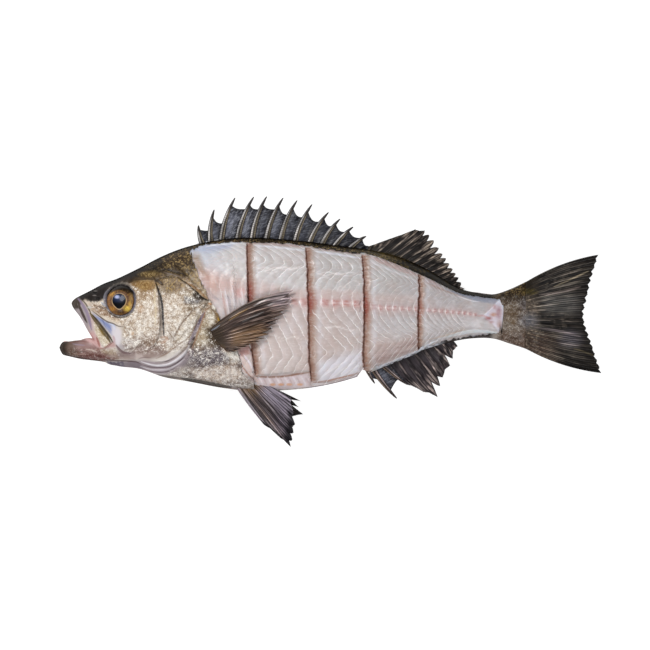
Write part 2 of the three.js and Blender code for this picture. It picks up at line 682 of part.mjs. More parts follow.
const fish = new THREE.Group();
fish.add(
  piece('body', makeBody(), skin),
  piece('left_fillet', makeFillet(), flesh),
  piece('left_eye', eyeball(1), eye),
  piece('right_eye', eyeball(-1), eye),
  piece('spiny_back_fin', makeSpinyFin(), darkFin),
  piece('soft_back_fin', makeSoftBackFin(), darkFin),
  piece('anal_fin', makeAnalFin(), darkFin),
  piece('tail_fin', makeTailFin(), darkFin),
  piece('left_pectoral_fin', makeLeftPectoral(), brownFin),
  piece('right_pectoral_fin', makeRightPectoral(), brownFin),
  piece('left_pelvic_fin', makePelvic(LEFT_PELVIC), brownFin),
  piece('right_pelvic_fin', makePelvic(RIGHT_PELVIC), brownFin),
);

const box = new THREE.Box3().setFromObject(fish, true);
const centre = box.getCenter(new THREE.Vector3());
fish.position.set(-centre.x, -centre.y, -box.min.z);

export default fish;
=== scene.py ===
"""A whole raw sea bass, lying on its right side with its mouth open. The left flank is skinned from
the shoulder to the wrist of the tail, and four deep cuts score the bare flesh.

Shapes are worked out in the fish's own frame, in millimetres: x runs from the tip of the lower jaw
to the tail, y from the backbone towards the back, and z up from the table. Each mesh is written in
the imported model's frame, in metres, by new_mesh().

The file goes from the dimensions, curves, meshes, painting and materials that all pieces share to
the skin, the flesh, the eyes, the fins and the studio. Each piece is painted on a Canvas at its
own points, with the colours laid on from the broad zones to the fine strokes.
"""

import bpy
import numpy as np
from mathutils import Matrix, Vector, noise


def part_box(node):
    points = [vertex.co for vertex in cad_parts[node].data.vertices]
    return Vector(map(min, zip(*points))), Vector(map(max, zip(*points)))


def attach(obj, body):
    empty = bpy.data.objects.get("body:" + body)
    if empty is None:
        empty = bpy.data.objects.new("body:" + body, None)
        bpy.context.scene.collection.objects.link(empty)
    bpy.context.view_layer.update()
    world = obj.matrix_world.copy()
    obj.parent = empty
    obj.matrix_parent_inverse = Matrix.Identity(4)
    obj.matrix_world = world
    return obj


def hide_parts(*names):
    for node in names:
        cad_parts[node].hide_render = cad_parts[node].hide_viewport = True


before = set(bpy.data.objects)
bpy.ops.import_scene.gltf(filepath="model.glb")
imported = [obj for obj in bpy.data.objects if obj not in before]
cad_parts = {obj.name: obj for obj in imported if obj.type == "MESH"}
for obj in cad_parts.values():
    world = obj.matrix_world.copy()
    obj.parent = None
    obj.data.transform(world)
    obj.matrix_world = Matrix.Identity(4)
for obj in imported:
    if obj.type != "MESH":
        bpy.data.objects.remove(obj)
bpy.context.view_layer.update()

# ---------------------------------------------------------------- the fish's own dimensions

SKIN = 1.2  # the bare flesh lies this far under the skin
POWER = 2.3  # of a section's outline: 2 is an ellipse, more is boxier

# Stations: x, edge at the back, edge at the belly, half thickness, height of the backbone's plane.
TRUNK = [
    [10.5, 4.6, -1.8, 4.0, 25.0],
    [13.0, 5.4, -4.4, 7.0, 25.0],
    [18.0, 8.0, -11.4, 9.5, 25.2],
    [27.0, 12.5, -30.2, 13.2, 25.6],
    [38.0, 18.2, -47.6, 16.5, 26.0],
    [50.0, 22.7, -51.9, 19.5, 26.4],
    [69.0, 31.8, -54.4, 23.5, 27.0],
    [89.0, 42.0, -61.2, 26.0, 27.2],
    [110.0, 49.8, -65.0, 27.0, 27.2],
    [140.0, 56.0, -70.6, 28.0, 27.2],
    [165.0, 57.2, -73.0, 29.3, 27.4],
    [205.0, 54.6, -71.4, 29.6, 27.4],
    [235.0, 50.8, -66.3, 28.4, 27.0],
    [262.0, 47.2, -58.2, 26.0, 26.2],
    [290.0, 40.6, -47.2, 22.4, 24.6],
    [316.0, 29.0, -36.8, 17.6, 21.6],
    [340.0, 14.8, -30.1, 13.4, 18.0],
    [358.0, 10.2, -28.1, 11.0, 15.4],
    [371.0, 9.4, -28.8, 9.6, 13.6],
    [384.0, 13.4, -32.8, 8.0, 11.8],
    [396.0, 18.9, -36.6, 5.6, 10.2],
    [403.0, 22.3, -39.4, 2.6, 9.2],
]
LOWER_JAW = [
    [0.2, -33.0, -39.4, 2.4, 25.0],
    [2.5, -31.4, -42.0, 5.0, 25.0],
    [8.0, -30.2, -43.6, 8.0, 25.0],
    [18.0, -28.6, -45.8, 11.0, 25.2],
    [26.0, -25.4, -46.8, 13.2, 25.6],
    [38.0, -30.0, -48.4, 14.6, 26.0],
    [52.0, -36.0, -51.9, 13.0, 26.4],
    [70.0, -42.0, -53.2, 7.0, 26.8],
]
MOUTH_HOLLOW = [
    [4.5, -27.0, -37.5, 3.0, 25.0],
    [10.0, -10.0, -38.6, 4.6, 25.0],
    [14.5, 1.2, -39.4, 5.2, 25.0],
    [22.0, 3.2, -40.6, 8.0, 25.3],
    [34.0, 0.5, -42.0, 12.0, 25.8],
    [48.0, -6.0, -42.5, 13.5, 26.4],
    [62.0, -15.0, -38.0, 12.0, 26.8],
    [72.0, -22.0, -31.0, 5.0, 27.0],
]

# Plates and folds of the head: smooth runs that meet at corners, the rise of the edge, and where
# along x the plate comes out of the head.
PLATES = {
    "shoulder girdle": (0.9, (100, 118), [
        [[127, 40], [136, 14], [143, -8], [140, -28], [128, -48], [112, -62]],
        [[112, -62], [96, -58]],
        [[96, -58], [96, 40]],
    ]),
    "outer gill membrane": (1.6, (48, 84), [
        [[119, -8], [117, -24], [108, -42], [92, -55], [72, -58]],
        [[72, -58], [60, -48]],
        [[60, -48], [110, -2]],
    ]),
    "inner gill membrane": (2.3, (48, 84), [
        [[123, -4], [115, -20], [104, -38], [90, -49], [70, -52.5]],
        [[70, -52.5], [60, -44]],
        [[60, -44], [112, 2]],
    ]),
    "gill cover": (3.2, (64, 96), [
        [[99.5, 33.5], [113, 21.5], [120, 9.5], [128, 2.0]],
        [[128, 2.0], [121, -6.0], [112, -20.0], [101, -32.0], [90, -41.5], [70, -46]],
        [[70, -46], [68, 18]],
        [[68, 18], [99.5, 33.5]],
    ]),
    "cheek": (4.2, (60, 86), [
        [[80, 25], [84.5, 19], [87.5, 2], [88.5, -18], [84, -33], [72, -41], [58, -43]],
        [[58, -43], [68, 14]],
        [[68, 14], [80, 25]],
    ]),
    "upper jaw blade": (1.3, (12, 22), [
        [[14, 5], [24, 5.5], [31, -0.5], [38, -12], [46, -31.5]],
        [[46, -31.5], [41, -36.5], [34, -37.5]],
        [[34, -37.5], [27, -28.5], [20, -14.5], [14, -1]],
        [[14, -1], [14, 5]],
    ]),
}
ORBIT = {"x": 54.0, "y": 3.9, "radius": 13.3, "depth": 7.4, "sunk": 2.7}

# The skinned window: its front edge from the nape to the belly, its top, its tail end and its foot.
WINDOW_FRONT = [
    [111.4, 45.5], [118, 30], [126.7, 8.5], [134.3, -4.3], [143, -20], [152.2, -38], [157.5, -58.5],
    [166.5, -67.0],
]
WINDOW_TOP = [
    [111.4, 45.5], [124, 51.2], [158, 54.0], [205, 51.4], [240, 45.8], [266, 42.8], [304, 27.6], [340, 11.0],
    [358, 7.7], [377.5, 5.1],
]
WINDOW_TAIL = [[377.5, 5.1], [380, -6], [375, -23.8]]
WINDOW_POINT = [379.9, -6.0]  # its hindmost place
WINDOW_SPACING = 0.8  # of the points along the window's torn edges
WINDOW_FOOT = [[262, -56.6], [285, -47.5], [300, -41.4], [312, -35.6], [341, -28.4], [375, -23.8]]
BARE_BELLY = (166.5, 259.0)  # between these the window runs round the edge of the belly
VENT = [[252.5, -76], [253.8, -60.6], [258, -54.8], [263, -57.0], [266, -76]]

# Cuts across the fillet: the sheer front wall from the back to the belly, and the mouth's width.
CUTS = [
    ([[159.8, 52], [160.3, 40], [161.2, 10], [163.2, -25], [164.6, -40], [166.8, -59.5]], 6.0),
    ([[209.6, 48], [210.8, 30], [211.4, 10], [212.0, -25], [212.4, -45], [214.2, -65]], 6.2),
    ([[256.9, 42], [258.0, 30], [258.6, 10], [258.2, -30], [257.6, -43], [259.4, -57]], 5.8),
    ([[305.0, 25.5], [305.4, 10], [304.6, 0], [304.4, -28], [305.2, -39]], 4.6),
]
CUT_DEPTH = 3.0
BELLY_STEP = {"from": [164, -60.5], "to": [213, -55.5], "drop": 4.0}

# ---------------------------------------------------------------- curves


def through(knots, column=1):
    """A smooth function through knots, with slopes from the knots on each side."""
    xs = np.array([k[0] for k in knots], float)
    ys = np.array([k[column] for k in knots], float)
    before = np.maximum(np.arange(len(xs)) - 1, 0)
    after = np.minimum(np.arange(len(xs)) + 1, len(xs) - 1)
    slope = (ys[after] - ys[before]) / (xs[after] - xs[before])

    def curve(x):
        """The function's value at x."""
        i = np.clip(np.searchsorted(xs, x) - 1, 0, len(xs) - 2)
        width = xs[i + 1] - xs[i]
        t = np.clip((x - xs[i]) / width, 0, 1)
        rest = 1 - t
        ends = ys[i] * rest * rest * (1 + 2 * t) + ys[i + 1] * t * t * (3 - 2 * t)
        return ends + width * t * rest * (slope[i] * rest - slope[i + 1] * t)

    return curve


def smooth_path(points, pieces=6):
    """A polyline along the smooth curve through some points."""
    p = np.array(points, float)
    if len(p) < 3:
        return p
    padded = np.vstack([2 * p[0] - p[1], p, 2 * p[-1] - p[-2]])
    t = np.arange(pieces)[:, None] / pieces
    runs = []
    for a, b, c, d in zip(padded, padded[1:], padded[2:], padded[3:]):
        bend = 2 * a - 5 * b + 4 * c - d
        twist = -a + 3 * b - 3 * c + d
        runs.append(b + 0.5 * t * ((c - a) + t * (bend + t * twist)))
    return np.vstack([*runs, p[-1:]])


def outline_of(runs):
    """The closed outline of smooth runs that meet at corners."""
    return np.vstack([smooth_path(run)[:-1] for run in runs])


def step(low, high, value):
    """0 below low, 1 above high, and smooth between; high may be under low."""
    t = np.clip((value - low) / (high - low), 0, 1)
    return t * t * (3 - 2 * t)


def between(value, start, full, fade, end):
    """1 from full to fade, 0 before start and after end, and smooth between."""
    return step(start, full, value) * step(end, fade, value)


def hump(off, width):
    """1 where off is 0, and smoothly less the further off it is in widths."""
    return np.exp(-((off / width) ** 2))


def mix(a, b, share):
    """From a, at share 0, to b, at share 1."""
    return a + (b - a) * share


def boxy(ratio):
    """A cosine or sine swollen from an ellipse's to that of the fish's boxier sections."""
    return np.sign(ratio) * np.abs(ratio) ** (2 / POWER)


def run_lengths(path):
    """How far along a polyline each of its points is."""
    return np.concatenate([[0], np.cumsum(np.hypot(*np.diff(path, axis=0).T))])


def distance(path, x, y):
    """How far each place is from a polyline, and the share of its length at the nearest point."""
    starts = run_lengths(path)
    best = np.full(np.shape(x), np.inf)
    share = np.zeros(np.shape(x))
    for (x0, y0), (x1, y1), start, length in zip(path, path[1:], starts, np.diff(starts)):
        if length == 0:
            continue
        t = np.clip(((x - x0) * (x1 - x0) + (y - y0) * (y1 - y0)) / length**2, 0, 1)
        away = np.hypot(x - mix(x0, x1, t), y - mix(y0, y1, t))
        nearer = away < best
        best = np.where(nearer, away, best)
        share = np.where(nearer, (start + length * t) / starts[-1], share)
    return best, share


def inside(outline, x, y):
    """Whether each place is within a closed outline."""
    odd = np.zeros(np.shape(x), bool)
    for (x0, y0), (x1, y1) in zip(outline, np.roll(outline, -1, axis=0)):
        if y0 != y1:
            odd ^= ((y0 > y) != (y1 > y)) & (x < mix(x0, x1, (y - y0) / (y1 - y0)))
    return odd


def depth_inside(outline, x, y):
    """Distance to a closed outline, positive within it."""
    ring = np.vstack([outline, outline[:1]])
    away, _ = distance(ring, x, y)
    return np.where(inside(outline, x, y), away, -away)


class Form:
    """The four profile curves of a table of stations."""

    def __init__(self, stations):
        self.back, self.belly, self.half, self.mid = [through(stations, c) for c in (1, 2, 3, 4)]
        self.start = stations[0][0]
        self.end = stations[-1][0]

    def section(self, x):
        """The middle of a section at x between back and belly, and its reach to either."""
        back, belly = self.back(x), self.belly(x)
        return (back + belly) / 2, (back - belly) / 2

    def flank(self, x, y, side=1):
        """Height of the upper (side 1) or lower (side -1) flank over the table."""
        centre, reach = self.section(x)
        across = np.clip(np.abs(y - centre) / reach, 0, 1)
        bulge = (1 - across**POWER) ** (1 / POWER)
        return np.maximum(self.mid(x) + side * self.half(x) * bulge, 0)

    def ring(self, x, angle, shrink):
        """Points of a shrunk section at x, at angles from the back over the upper flank."""
        centre, reach = self.section(x)
        y = centre + reach * shrink * boxy(np.cos(angle))
        z = self.mid(x) + self.half(x) * shrink * boxy(np.sin(angle))
        return np.stack([x + 0 * y, y, np.maximum(z, 0)], axis=-1)


trunk = Form(TRUNK)


def ripple(places, size, seed, octaves=3):
    """Smooth noise of about -1 to 1 at places (x, y), with features of a size in their unit."""
    scaled = np.stack(np.broadcast_arrays(*places, 0.0), axis=-1) / size
    shift = Vector((seed * 17.3, seed * 5.1, seed * 9.7))
    values = [noise.fractal(Vector(p) + shift, 0.6, 2.1, octaves) for p in scaled.reshape(-1, 3)]
    return np.array(values).reshape(scaled.shape[:-1])


# ---------------------------------------------------------------- meshes

MM = 0.001
CAD_LOW, CAD_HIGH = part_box("body")
CAD_STATIONS = np.linspace(trunk.start, trunk.end, 41)
ORIGIN = np.array([
    LOWER_JAW[0][0] - CAD_LOW.x / MM,
    trunk.back(CAD_STATIONS).max() - CAD_HIGH.y / MM,
    0.0,
])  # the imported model's origin, in the fish's frame


def add_object(name, data):
    """Puts a mesh, a camera or a light into the scene."""
    made = bpy.data.objects.new(name, data)
    bpy.context.scene.collection.objects.link(made)
    return made


def new_mesh(name, points, faces, smooth=True):
    """A mesh object from points in the fish's frame."""
    mesh = bpy.data.meshes.new(name)
    places = (np.asarray(points, float).reshape(-1, 3) - ORIGIN) * MM
    mesh.from_pydata(places.tolist(), [], [list(f) for f in faces])
    mesh.validate()
    mesh.polygons.foreach_set("use_smooth", [smooth] * len(mesh.polygons))
    return add_object(name, mesh)


def places_of(piece):
    """A mesh's points in the fish's frame."""
    flat = np.empty(len(piece.data.vertices) * 3)
    piece.data.vertices.foreach_get("co", flat)
    return flat.reshape(-1, 3) / MM + ORIGIN


def move_to(piece, points):
    """Moves a mesh's points to places in the fish's frame."""
    piece.data.vertices.foreach_set("co", ((points - ORIGIN) * MM).ravel())
    piece.data.update()


def settle(piece):
    """Applies a piece's modifiers."""
    graph = bpy.context.evaluated_depsgraph_get()
    done = bpy.data.meshes.new_from_object(piece.evaluated_get(graph))
    piece.modifiers.clear()
    piece.data = done


def combine(piece, other, operation):
    """Joins another closed mesh to a piece, or cuts it away, and removes the other."""
    tool = piece.modifiers.new("combine", "BOOLEAN")
    tool.operation = operation
    tool.solver = "MANIFOLD"
    tool.object = other
    settle(piece)
    bpy.data.objects.remove(other)


def ring_faces(rings, around):
    """Quads round a stack of closed rings, and a face over each end."""
    r = np.arange(rings - 1)[:, None] * around
    a = r + np.arange(around)[None, :]
    b = r + (np.arange(around)[None, :] + 1) % around
    sides = np.stack([a, b, b + around, a + around], axis=-1).reshape(-1, 4).tolist()
    last = (rings - 1) * around
    return [*sides, list(range(around))[::-1], list(range(last, last + around))]


def sheet_faces(columns, rows):
    """Faces of a closed sheet whose top points come first, then its under side in the same order."""
    size = columns * rows
    c = np.arange(columns - 1)[:, None] * rows
    a = (c + np.arange(rows - 1)[None, :]).ravel()
    top = np.stack([a, a + 1, a + rows + 1, a + rows], axis=-1)
    under = top[:, ::-1] + size
    border = [
        *range(0, rows - 1),
        *range(rows - 1, size - 1, rows),
        *range(size - 1, size - rows, -1),
        *range(size - rows, 0, -rows),
    ]
    rim = [[b, a, a + size, b + size] for a, b in zip(border, border[1:] + border[:1])]
    return [*top.tolist(), *under.tolist(), *rim]


def store(piece, name, values):
    """Keeps a number or a colour at each point of a mesh, for its material."""
    values = np.asarray(values, float)
    if values.size == len(piece.data.vertices):
        layer = piece.data.attributes.new(name, "FLOAT", "POINT")
        layer.data.foreach_set("value", values.ravel())
    else:
        layer = piece.data.attributes.new(name, "FLOAT_COLOR", "POINT")
        layer.data.foreach_set("color", np.hstack([values, np.ones((len(values), 1))]).ravel())


def dress(piece, material, node):
    """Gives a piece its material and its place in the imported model."""
    piece.data.materials.clear()
    piece.data.materials.append(material)
    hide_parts(node)
    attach(piece, "root")
    return piece


# ---------------------------------------------------------------- painting


def tone(code):
    """A colour as light, from its usual six-figure code."""
    value = np.array([int(code[i:i + 2], 16) / 255 for i in (1, 3, 5)])
    return np.where(value <= 0.04045, value / 12.92, ((value + 0.055) / 1.055) ** 2.4)


class Canvas:
    """Colour and relief at places on a surface, laid on one mark after another."""

    STROKE_SOFTNESS = 0.7  # width of a stroke's soft edge
    STROKE_TAPER = 0.7  # how much of its width a stroke loses at its ends

    def __init__(self, x, y, base):
        self.x = np.ravel(x)
        self.y = np.ravel(y)
        self.colour = np.tile(tone(base), (self.x.size, 1))
        self.lift = np.zeros(self.x.size)
        self.plain = np.zeros(self.x.size)  # how far marks keep the material's own grain off

    def lay(self, cover, colour, lift=0.0, where=slice(None), plain=0.0):
        """Lays a colour over some places, as far as cover says, and raises them by lift."""
        cover = np.ravel(cover)
        part = self.colour[where]
        self.colour[where] = part + (tone(colour) - part) * cover[:, None]
        self.lift[where] += lift * cover
        self.plain[where] = np.maximum(self.plain[where], plain * cover)

    def near(self, path, margin):
        """Which places lie in the box round a path."""
        low = path.min(0) - margin
        high = path.max(0) + margin
        return np.flatnonzero(
            (self.x > low[0]) & (self.x < high[0]) & (self.y > low[1]) & (self.y < high[1])
        )

    def line(self, path, width, colour, opacity=1.0, lift=0.0):
        """A stroke along a smooth path, narrower towards its ends."""
        path = smooth_path(path)
        soft = self.STROKE_SOFTNESS
        where = self.near(path, width + 2 * soft)
        away, share = distance(path, self.x[where], self.y[where])
        half = width / 2 * (1 - self.STROKE_TAPER * np.abs(2 * share - 1) ** 3)
        cover = opacity * step(1, 0, (away - half + soft / 2) / soft)
        self.lay(cover, colour, lift, where, plain=1.0)

    def patch(self, outline, colour, opacity, soft, lift=0.0):
        """A soft-edged area inside an outline of corner points."""
        outline = np.array(outline, float)
        where = self.near(outline, soft)
        deep = depth_inside(outline, self.x[where], self.y[where])
        self.lay(opacity * step(-soft, soft, deep), colour, lift, where)

    def spot(self, centre, radius, colour, opacity=1.0, lift=0.0, soft=0.5, plain=0.0):
        """A round soft spot; radius may be a pair, across and up."""
        across, up = np.broadcast_to(radius, 2)
        away = np.hypot((self.x - centre[0]) / across, (self.y - centre[1]) / up)
        self.lay(opacity * step(1 + soft, 1 - soft, away), colour, lift, plain=plain)

    def tints(self, table, soft=0.9):
        """Broad soft spots from a table of centres, radii, colours and opacities."""
        for centre, radii, colour, opacity in table:
            self.spot(centre, radii, colour, opacity, soft=soft)


# ---------------------------------------------------------------- materials


class Shader:
    """Builds a node material; nodes are made by kind and linked by name."""

    def __init__(self, name):
        self.material = bpy.data.materials.new(name)
        self.material.use_nodes = True
        self.nodes = self.material.node_tree.nodes
        self.links = self.material.node_tree.links
        self.surface = self.nodes["Principled BSDF"]

    def plug(self, socket, value):
        """Links a socket to another node's, or sets it to a number or a colour."""
        if isinstance(value, bpy.types.NodeSocket):
            self.links.new(value, socket)
        else:
            socket.default_value = value

    def node(self, kind, out=0, settings=None, **inputs):
        """Makes a node, with its inputs by name, and gives one of its outputs."""
        made = self.nodes.new("ShaderNode" + kind)
        for key, value in (settings or {}).items():
            setattr(made, key, value)
        for key, value in inputs.items():
            self.plug(made.inputs[key.replace("_", " ")], value)
        return made.outputs[out]

    def attribute(self, name):
        """A number that the mesh keeps at each point."""
        return self.node("Attribute", "Fac", {"attribute_name": name})

    def paint(self):
        """The colour that the mesh keeps at each point."""
        return self.node("Attribute", "Color", {"attribute_name": "paint"})

    def math(self, operation, *values):
        """One arithmetic step on one or two values."""
        made = self.nodes.new("ShaderNodeMath")
        made.operation = operation
        for socket, value in zip(made.inputs, values):
            self.plug(socket, value)
        return made.outputs[0]

    def times(self, product, *factors):
        """The product of some values."""
        for factor in factors:
            product = self.math("MULTIPLY", product, factor)
        return product

    def plus(self, total, *terms):
        """The sum of some values."""
        for term in terms:
            total = self.math("ADD", total, term)
        return total

    def off_half(self, value):
        """How far a value is from a half."""
        return self.math("ABSOLUTE", self.math("SUBTRACT", value, 0.5))

    def span(self, value, low, high, to_low=0.0, to_high=1.0):
        """Takes low to to_low and high to to_high, smoothly."""
        made = self.nodes.new("ShaderNodeMapRange")
        made.interpolation_type = "SMOOTHSTEP"
        for key, number in zip(range(5), (value, low, high, to_low, to_high)):
            self.plug(made.inputs[key], number)
        return made.outputs[0]

    def blend(self, share, a, b, how="MIX"):
        """Mixes colour b into colour a."""
        made = self.nodes.new("ShaderNodeMix")
        made.data_type = "RGBA"
        made.blend_type = how
        self.plug(made.inputs["Factor"], share)
        for key, value in (("A", a), ("B", b)):
            socket = next(s for s in made.inputs if s.name == key and s.type == "RGBA")
            self.plug(socket, value if isinstance(value, bpy.types.NodeSocket) else (*value, 1))
        return next(s for s in made.outputs if s.type == "RGBA")

    def layers(self, colour, *layers):
        """Lays colours over one another, each given as its share, itself and maybe how it mixes."""
        for share, over, *how in layers:
            colour = self.blend(share, colour, over, *how)
        return colour

    def place(self):
        """Places on the surface, as the mesh has them."""
        return self.node("TexCoord", "Object")

    def stretched(self, x=1.0, y=1.0, z=1.0):
        """Places on the surface, with each axis scaled."""
        return self.node("Mapping", 0, Vector=self.place(), Scale=(x, y, z))

    def noise(self, vector, scale, detail, roughness=0.5, distortion=0.0):
        """Cloudy noise, from 0 to 1 and mostly near a half."""
        return self.node(
            "TexNoise", 0, Vector=vector, Scale=scale, Detail=detail, Roughness=roughness,
            Distortion=distortion,
        )

    def grain(self, size, detail=3.0, vector=None, roughness=0.55, distortion=0.0):
        """Noise with features of a size in millimetres."""
        return self.noise(vector or self.place(), 1 / (size * MM), detail, roughness, distortion)

    def cells(self, size, vector, randomness):
        """Distance to the centre of the nearest cell of a size in millimetres."""
        return self.node("TexVoronoi", 0, Vector=vector, Scale=1 / (size * MM), Randomness=randomness)

    def finish(self, colour, bumps=(), **settings):
        """Sets the surface: its colour, bumps as (height, distance in mm, strength), and finish."""
        self.plug(self.surface.inputs["Base Color"], colour)
        normal = {}
        for height, deep, strength in bumps:
            made = self.node("Bump", 0, Height=height, Distance=deep * MM, Strength=strength, **normal)
            normal = {"Normal": made}
        for key, value in (normal | settings).items():
            self.plug(self.surface.inputs[key.replace("_", " ")], value)
        return self.material


# Sizes of the grain, in millimetres.
FLECK_SIZES = [0.95, 3.0, 8.0]  # fine, medium and broad
TINT_SIZE = 4.0
WORM_SIZE = 3.4
SPARK_SIZE = 1.7
SCALE_SIZE = 3.4
FIBRE_SIZE = 1.5
# Tints that multiply the painted colours.
WARM_TINT, FLECK_TINT, WORM_TINT = (0.87, 0.72, 0.53), (0.42, 0.34, 0.27), (0.38, 0.28, 0.22)
SCALE_TINT = (0.42, 0.38, 0.36)
RAY_TINT, HAIR_TINT = (2.2, 2.15, 2.1), (1.9, 1.85, 1.85)


def soft_gloss(s, strength):
    """A gloss that fades where the surface turns away, so that dark rims stay dark."""
    facing = s.node("LayerWeight", 1, Blend=0.5)
    return s.span(facing, 0.3, 0.75, strength, 0.0)


def skin_material():
    """Wet fish skin: painted zones, brown flecks, gold sparks, pale silvery specks partly painted as wet
    highlights, and scales.
    """
    s = Shader("wet_fish_skin")
    flecks, specks_and_painted_highlights, scales, gold = map(s.attribute, ("flecks", "specks_and_painted_highlights", "scales", "gold"))
    fine = s.grain(FLECK_SIZES[0], 3, roughness=0.65)
    medium = s.grain(FLECK_SIZES[1], 3)
    broad = s.grain(FLECK_SIZES[2], 2)
    mottle = s.plus(s.times(fine, 0.5), s.times(medium, 0.36), s.times(broad, 0.14))
    worms = s.off_half(s.grain(WORM_SIZE, 3, distortion=1.4))
    rows = s.cells(SCALE_SIZE, s.stretched(1.0, 1.25, 0.8), 0.55)
    scale_height = s.times(s.span(rows, 0.9, 0.1), scales)

    warm = s.times(s.span(s.grain(TINT_SIZE, 3), 0.46, 0.6), flecks, 0.4)
    dark = s.times(s.span(mottle, 0.505, 0.58), flecks, 0.8)
    # pale silvery specks, partly painted wet highlights
    light = s.times(s.span(mottle, 0.49, 0.42), specks_and_painted_highlights)
    squiggle = s.times(s.span(worms, 0.022, 0.004), flecks, 0.55)
    sparks = s.times(s.span(s.grain(SPARK_SIZE, 4, roughness=0.8), 0.5, 0.58), gold, 0.75)
    scale_edge = s.times(s.span(rows, 0.35, 0.75), scales, 0.6)
    colour = s.layers(
        s.paint(),
        (warm, WARM_TINT, "MULTIPLY"),
        (dark, FLECK_TINT, "MULTIPLY"),
        (light, tone("#f6f0e7")),
        (squiggle, WORM_TINT, "MULTIPLY"),
        (sparks, tone("#b89c69")),
        (scale_edge, SCALE_TINT, "MULTIPLY"),
    )
    return s.finish(
        colour,
        [(fine, 0.3, 0.35), (medium, 0.5, 0.25), (scale_height, 0.3, 0.5)],
        Roughness=0.45, Specular_IOR_Level=soft_gloss(s, 0.14),
        Coat_Weight=soft_gloss(s, 0.1), Coat_Roughness=0.15,
    )


def flesh_material():
    """Bare white flesh: muscle blocks with pale septa between them, fine fibres, and a wet coat."""
    s = Shader("raw_white_flesh")
    septa = s.attribute("septa")
    waver = s.times(s.math("SUBTRACT", s.grain(7, 4), 0.5), 0.7)
    phase = s.math("FRACT", s.plus(s.attribute("block"), waver))
    patchy = s.span(s.grain(8, 3), 0.4, 0.6, 0.1, 1.0)
    line = s.times(s.span(s.off_half(phase), 0.43, 0.482), patchy, septa)
    thirds = s.off_half(s.math("FRACT", s.times(phase, 3)))
    thin = s.times(s.span(thirds, 0.4, 0.48), s.span(s.grain(10, 3), 0.5, 0.66), septa)
    fibres = s.grain(FIBRE_SIZE, 4, vector=s.stretched(0.3, 1.0, 1.0), distortion=0.5)
    colour = s.layers(
        s.paint(),
        # painted shade: each muscle block darkens from one septum towards the next
        (s.times(s.span(phase, 0.05, 0.9), septa, 0.26), tone("#a08c84")),
        (s.times(s.span(fibres, 0.45, 0.7), 0.16), tone("#f2ecec")),
        (s.times(thin, 0.3), tone("#f4eeee")),
        (s.times(line, 0.76), tone("#faf6f6")),
    )
    return s.finish(
        colour,
        [(fibres, 0.12, 0.35), (line, 0.2, 0.5)],
        Roughness=0.42, Specular_IOR_Level=0.3, Coat_Weight=soft_gloss(s, 0.2), Coat_Roughness=0.18,
        Subsurface_Weight=0.1, Subsurface_Scale=0.002, Subsurface_Radius=(1.0, 0.45, 0.3),
    )


def fin_material(name):
    """Wet fin: painted rays and webs, with fine streaks along the rays."""
    s = Shader(name)
    ridge, number, along = map(s.attribute, ("ridge", "across", "along"))
    lanes = s.node("CombineXYZ", 0, X=s.times(number, 1.5), Y=s.times(along, 0.7))
    streaks = s.noise(lanes, 3.0, 5.0, 0.6)
    rayed = s.span(ridge, 0.0, 0.05)
    off_lane = s.off_half(s.math("FRACT", s.plus(s.times(number, 3), s.times(streaks, 0.5))))
    colour = s.layers(
        s.paint(),
        (s.times(s.span(streaks, 0.5, 0.62), ridge), RAY_TINT, "MULTIPLY"),
        (s.times(s.span(off_lane, 0.1, 0.02), 0.8, rayed), HAIR_TINT, "MULTIPLY"),
        (s.times(s.span(off_lane, 0.26, 0.42), 0.8, rayed), tone("#0e0b0b")),
        (s.times(s.span(streaks, 0.5, 0.36), 0.6), tone("#0e0b0a")),
    )
    return s.finish(
        colour,
        [(streaks, 0.3, 0.5), (s.grain(1.1, 3), 0.15, 0.3)],
        Roughness=0.5, Specular_IOR_Level=soft_gloss(s, 0.15),
        Coat_Weight=soft_gloss(s, 0.08), Coat_Roughness=0.2,
    )


def eye_material():
    """The eyeball under its clear cornea: painted iris and pupil, with fine radial flecks."""
    s = Shader("glossy_eye")
    iris, spokes = map(s.attribute, ("iris", "spokes"))
    streak = s.noise(s.node("CombineXYZ", 0, X=spokes, Y=iris), 5.0, 4.0)
    colour = s.layers(
        s.paint(),
        (s.times(s.span(streak, 0.48, 0.64), iris, 0.35), tone("#2f1c10")),
        (s.times(s.span(s.grain(2.0, 3), 0.48, 0.6), iris, 0.45), tone("#4a342c")),
        (s.times(s.span(streak, 0.46, 0.36), iris, 0.2), tone("#e8bd62")),
    )
    return s.finish(
        colour,
        [(streak, 0.05, 0.3)],
        Roughness=0.35, Specular_IOR_Level=0.1, Coat_Weight=soft_gloss(s, 0.15), Coat_Roughness=0.03,
    )


# ---------------------------------------------------------------- skin and head

HEAD_END = 156.0  # the head and collar are finely meshed up to here
HEAD_SPACING = 0.55
TRUNK_SPACING = 1.2
UPPER_POINTS = 236  # round the shown flank of a section
LOWER_POINTS = 116
BULGE_FADE = 0.35  # relief fades within this share of the half thickness from the outline
SECTION_ASPECT = 0.45  # of a section's half thickness to its reach
NOSE = 4.0  # a form is rounded off over this length at its front
SKY = 80.0  # over the whole fish
CREASE = 48  # degrees: sharper edges of the skin are not smoothed
JAW_POINTS, MOUTH_POINTS = 120, 72  # round a section of the lower jaw and of the mouth's hollow
LIP_ROUNDS = 12  # of evening out where the jaw, the lips and the head meet


def even_angles(count):
    """Angles over half a section, from the back to the belly, evenly spaced along its outline."""
    fine = np.linspace(0, np.pi, 2000)
    run = run_lengths(np.stack([boxy(np.cos(fine)), SECTION_ASPECT * boxy(np.sin(fine))], axis=-1))
    return np.interp(np.linspace(0, run[-1], count, endpoint=False), run, fine)


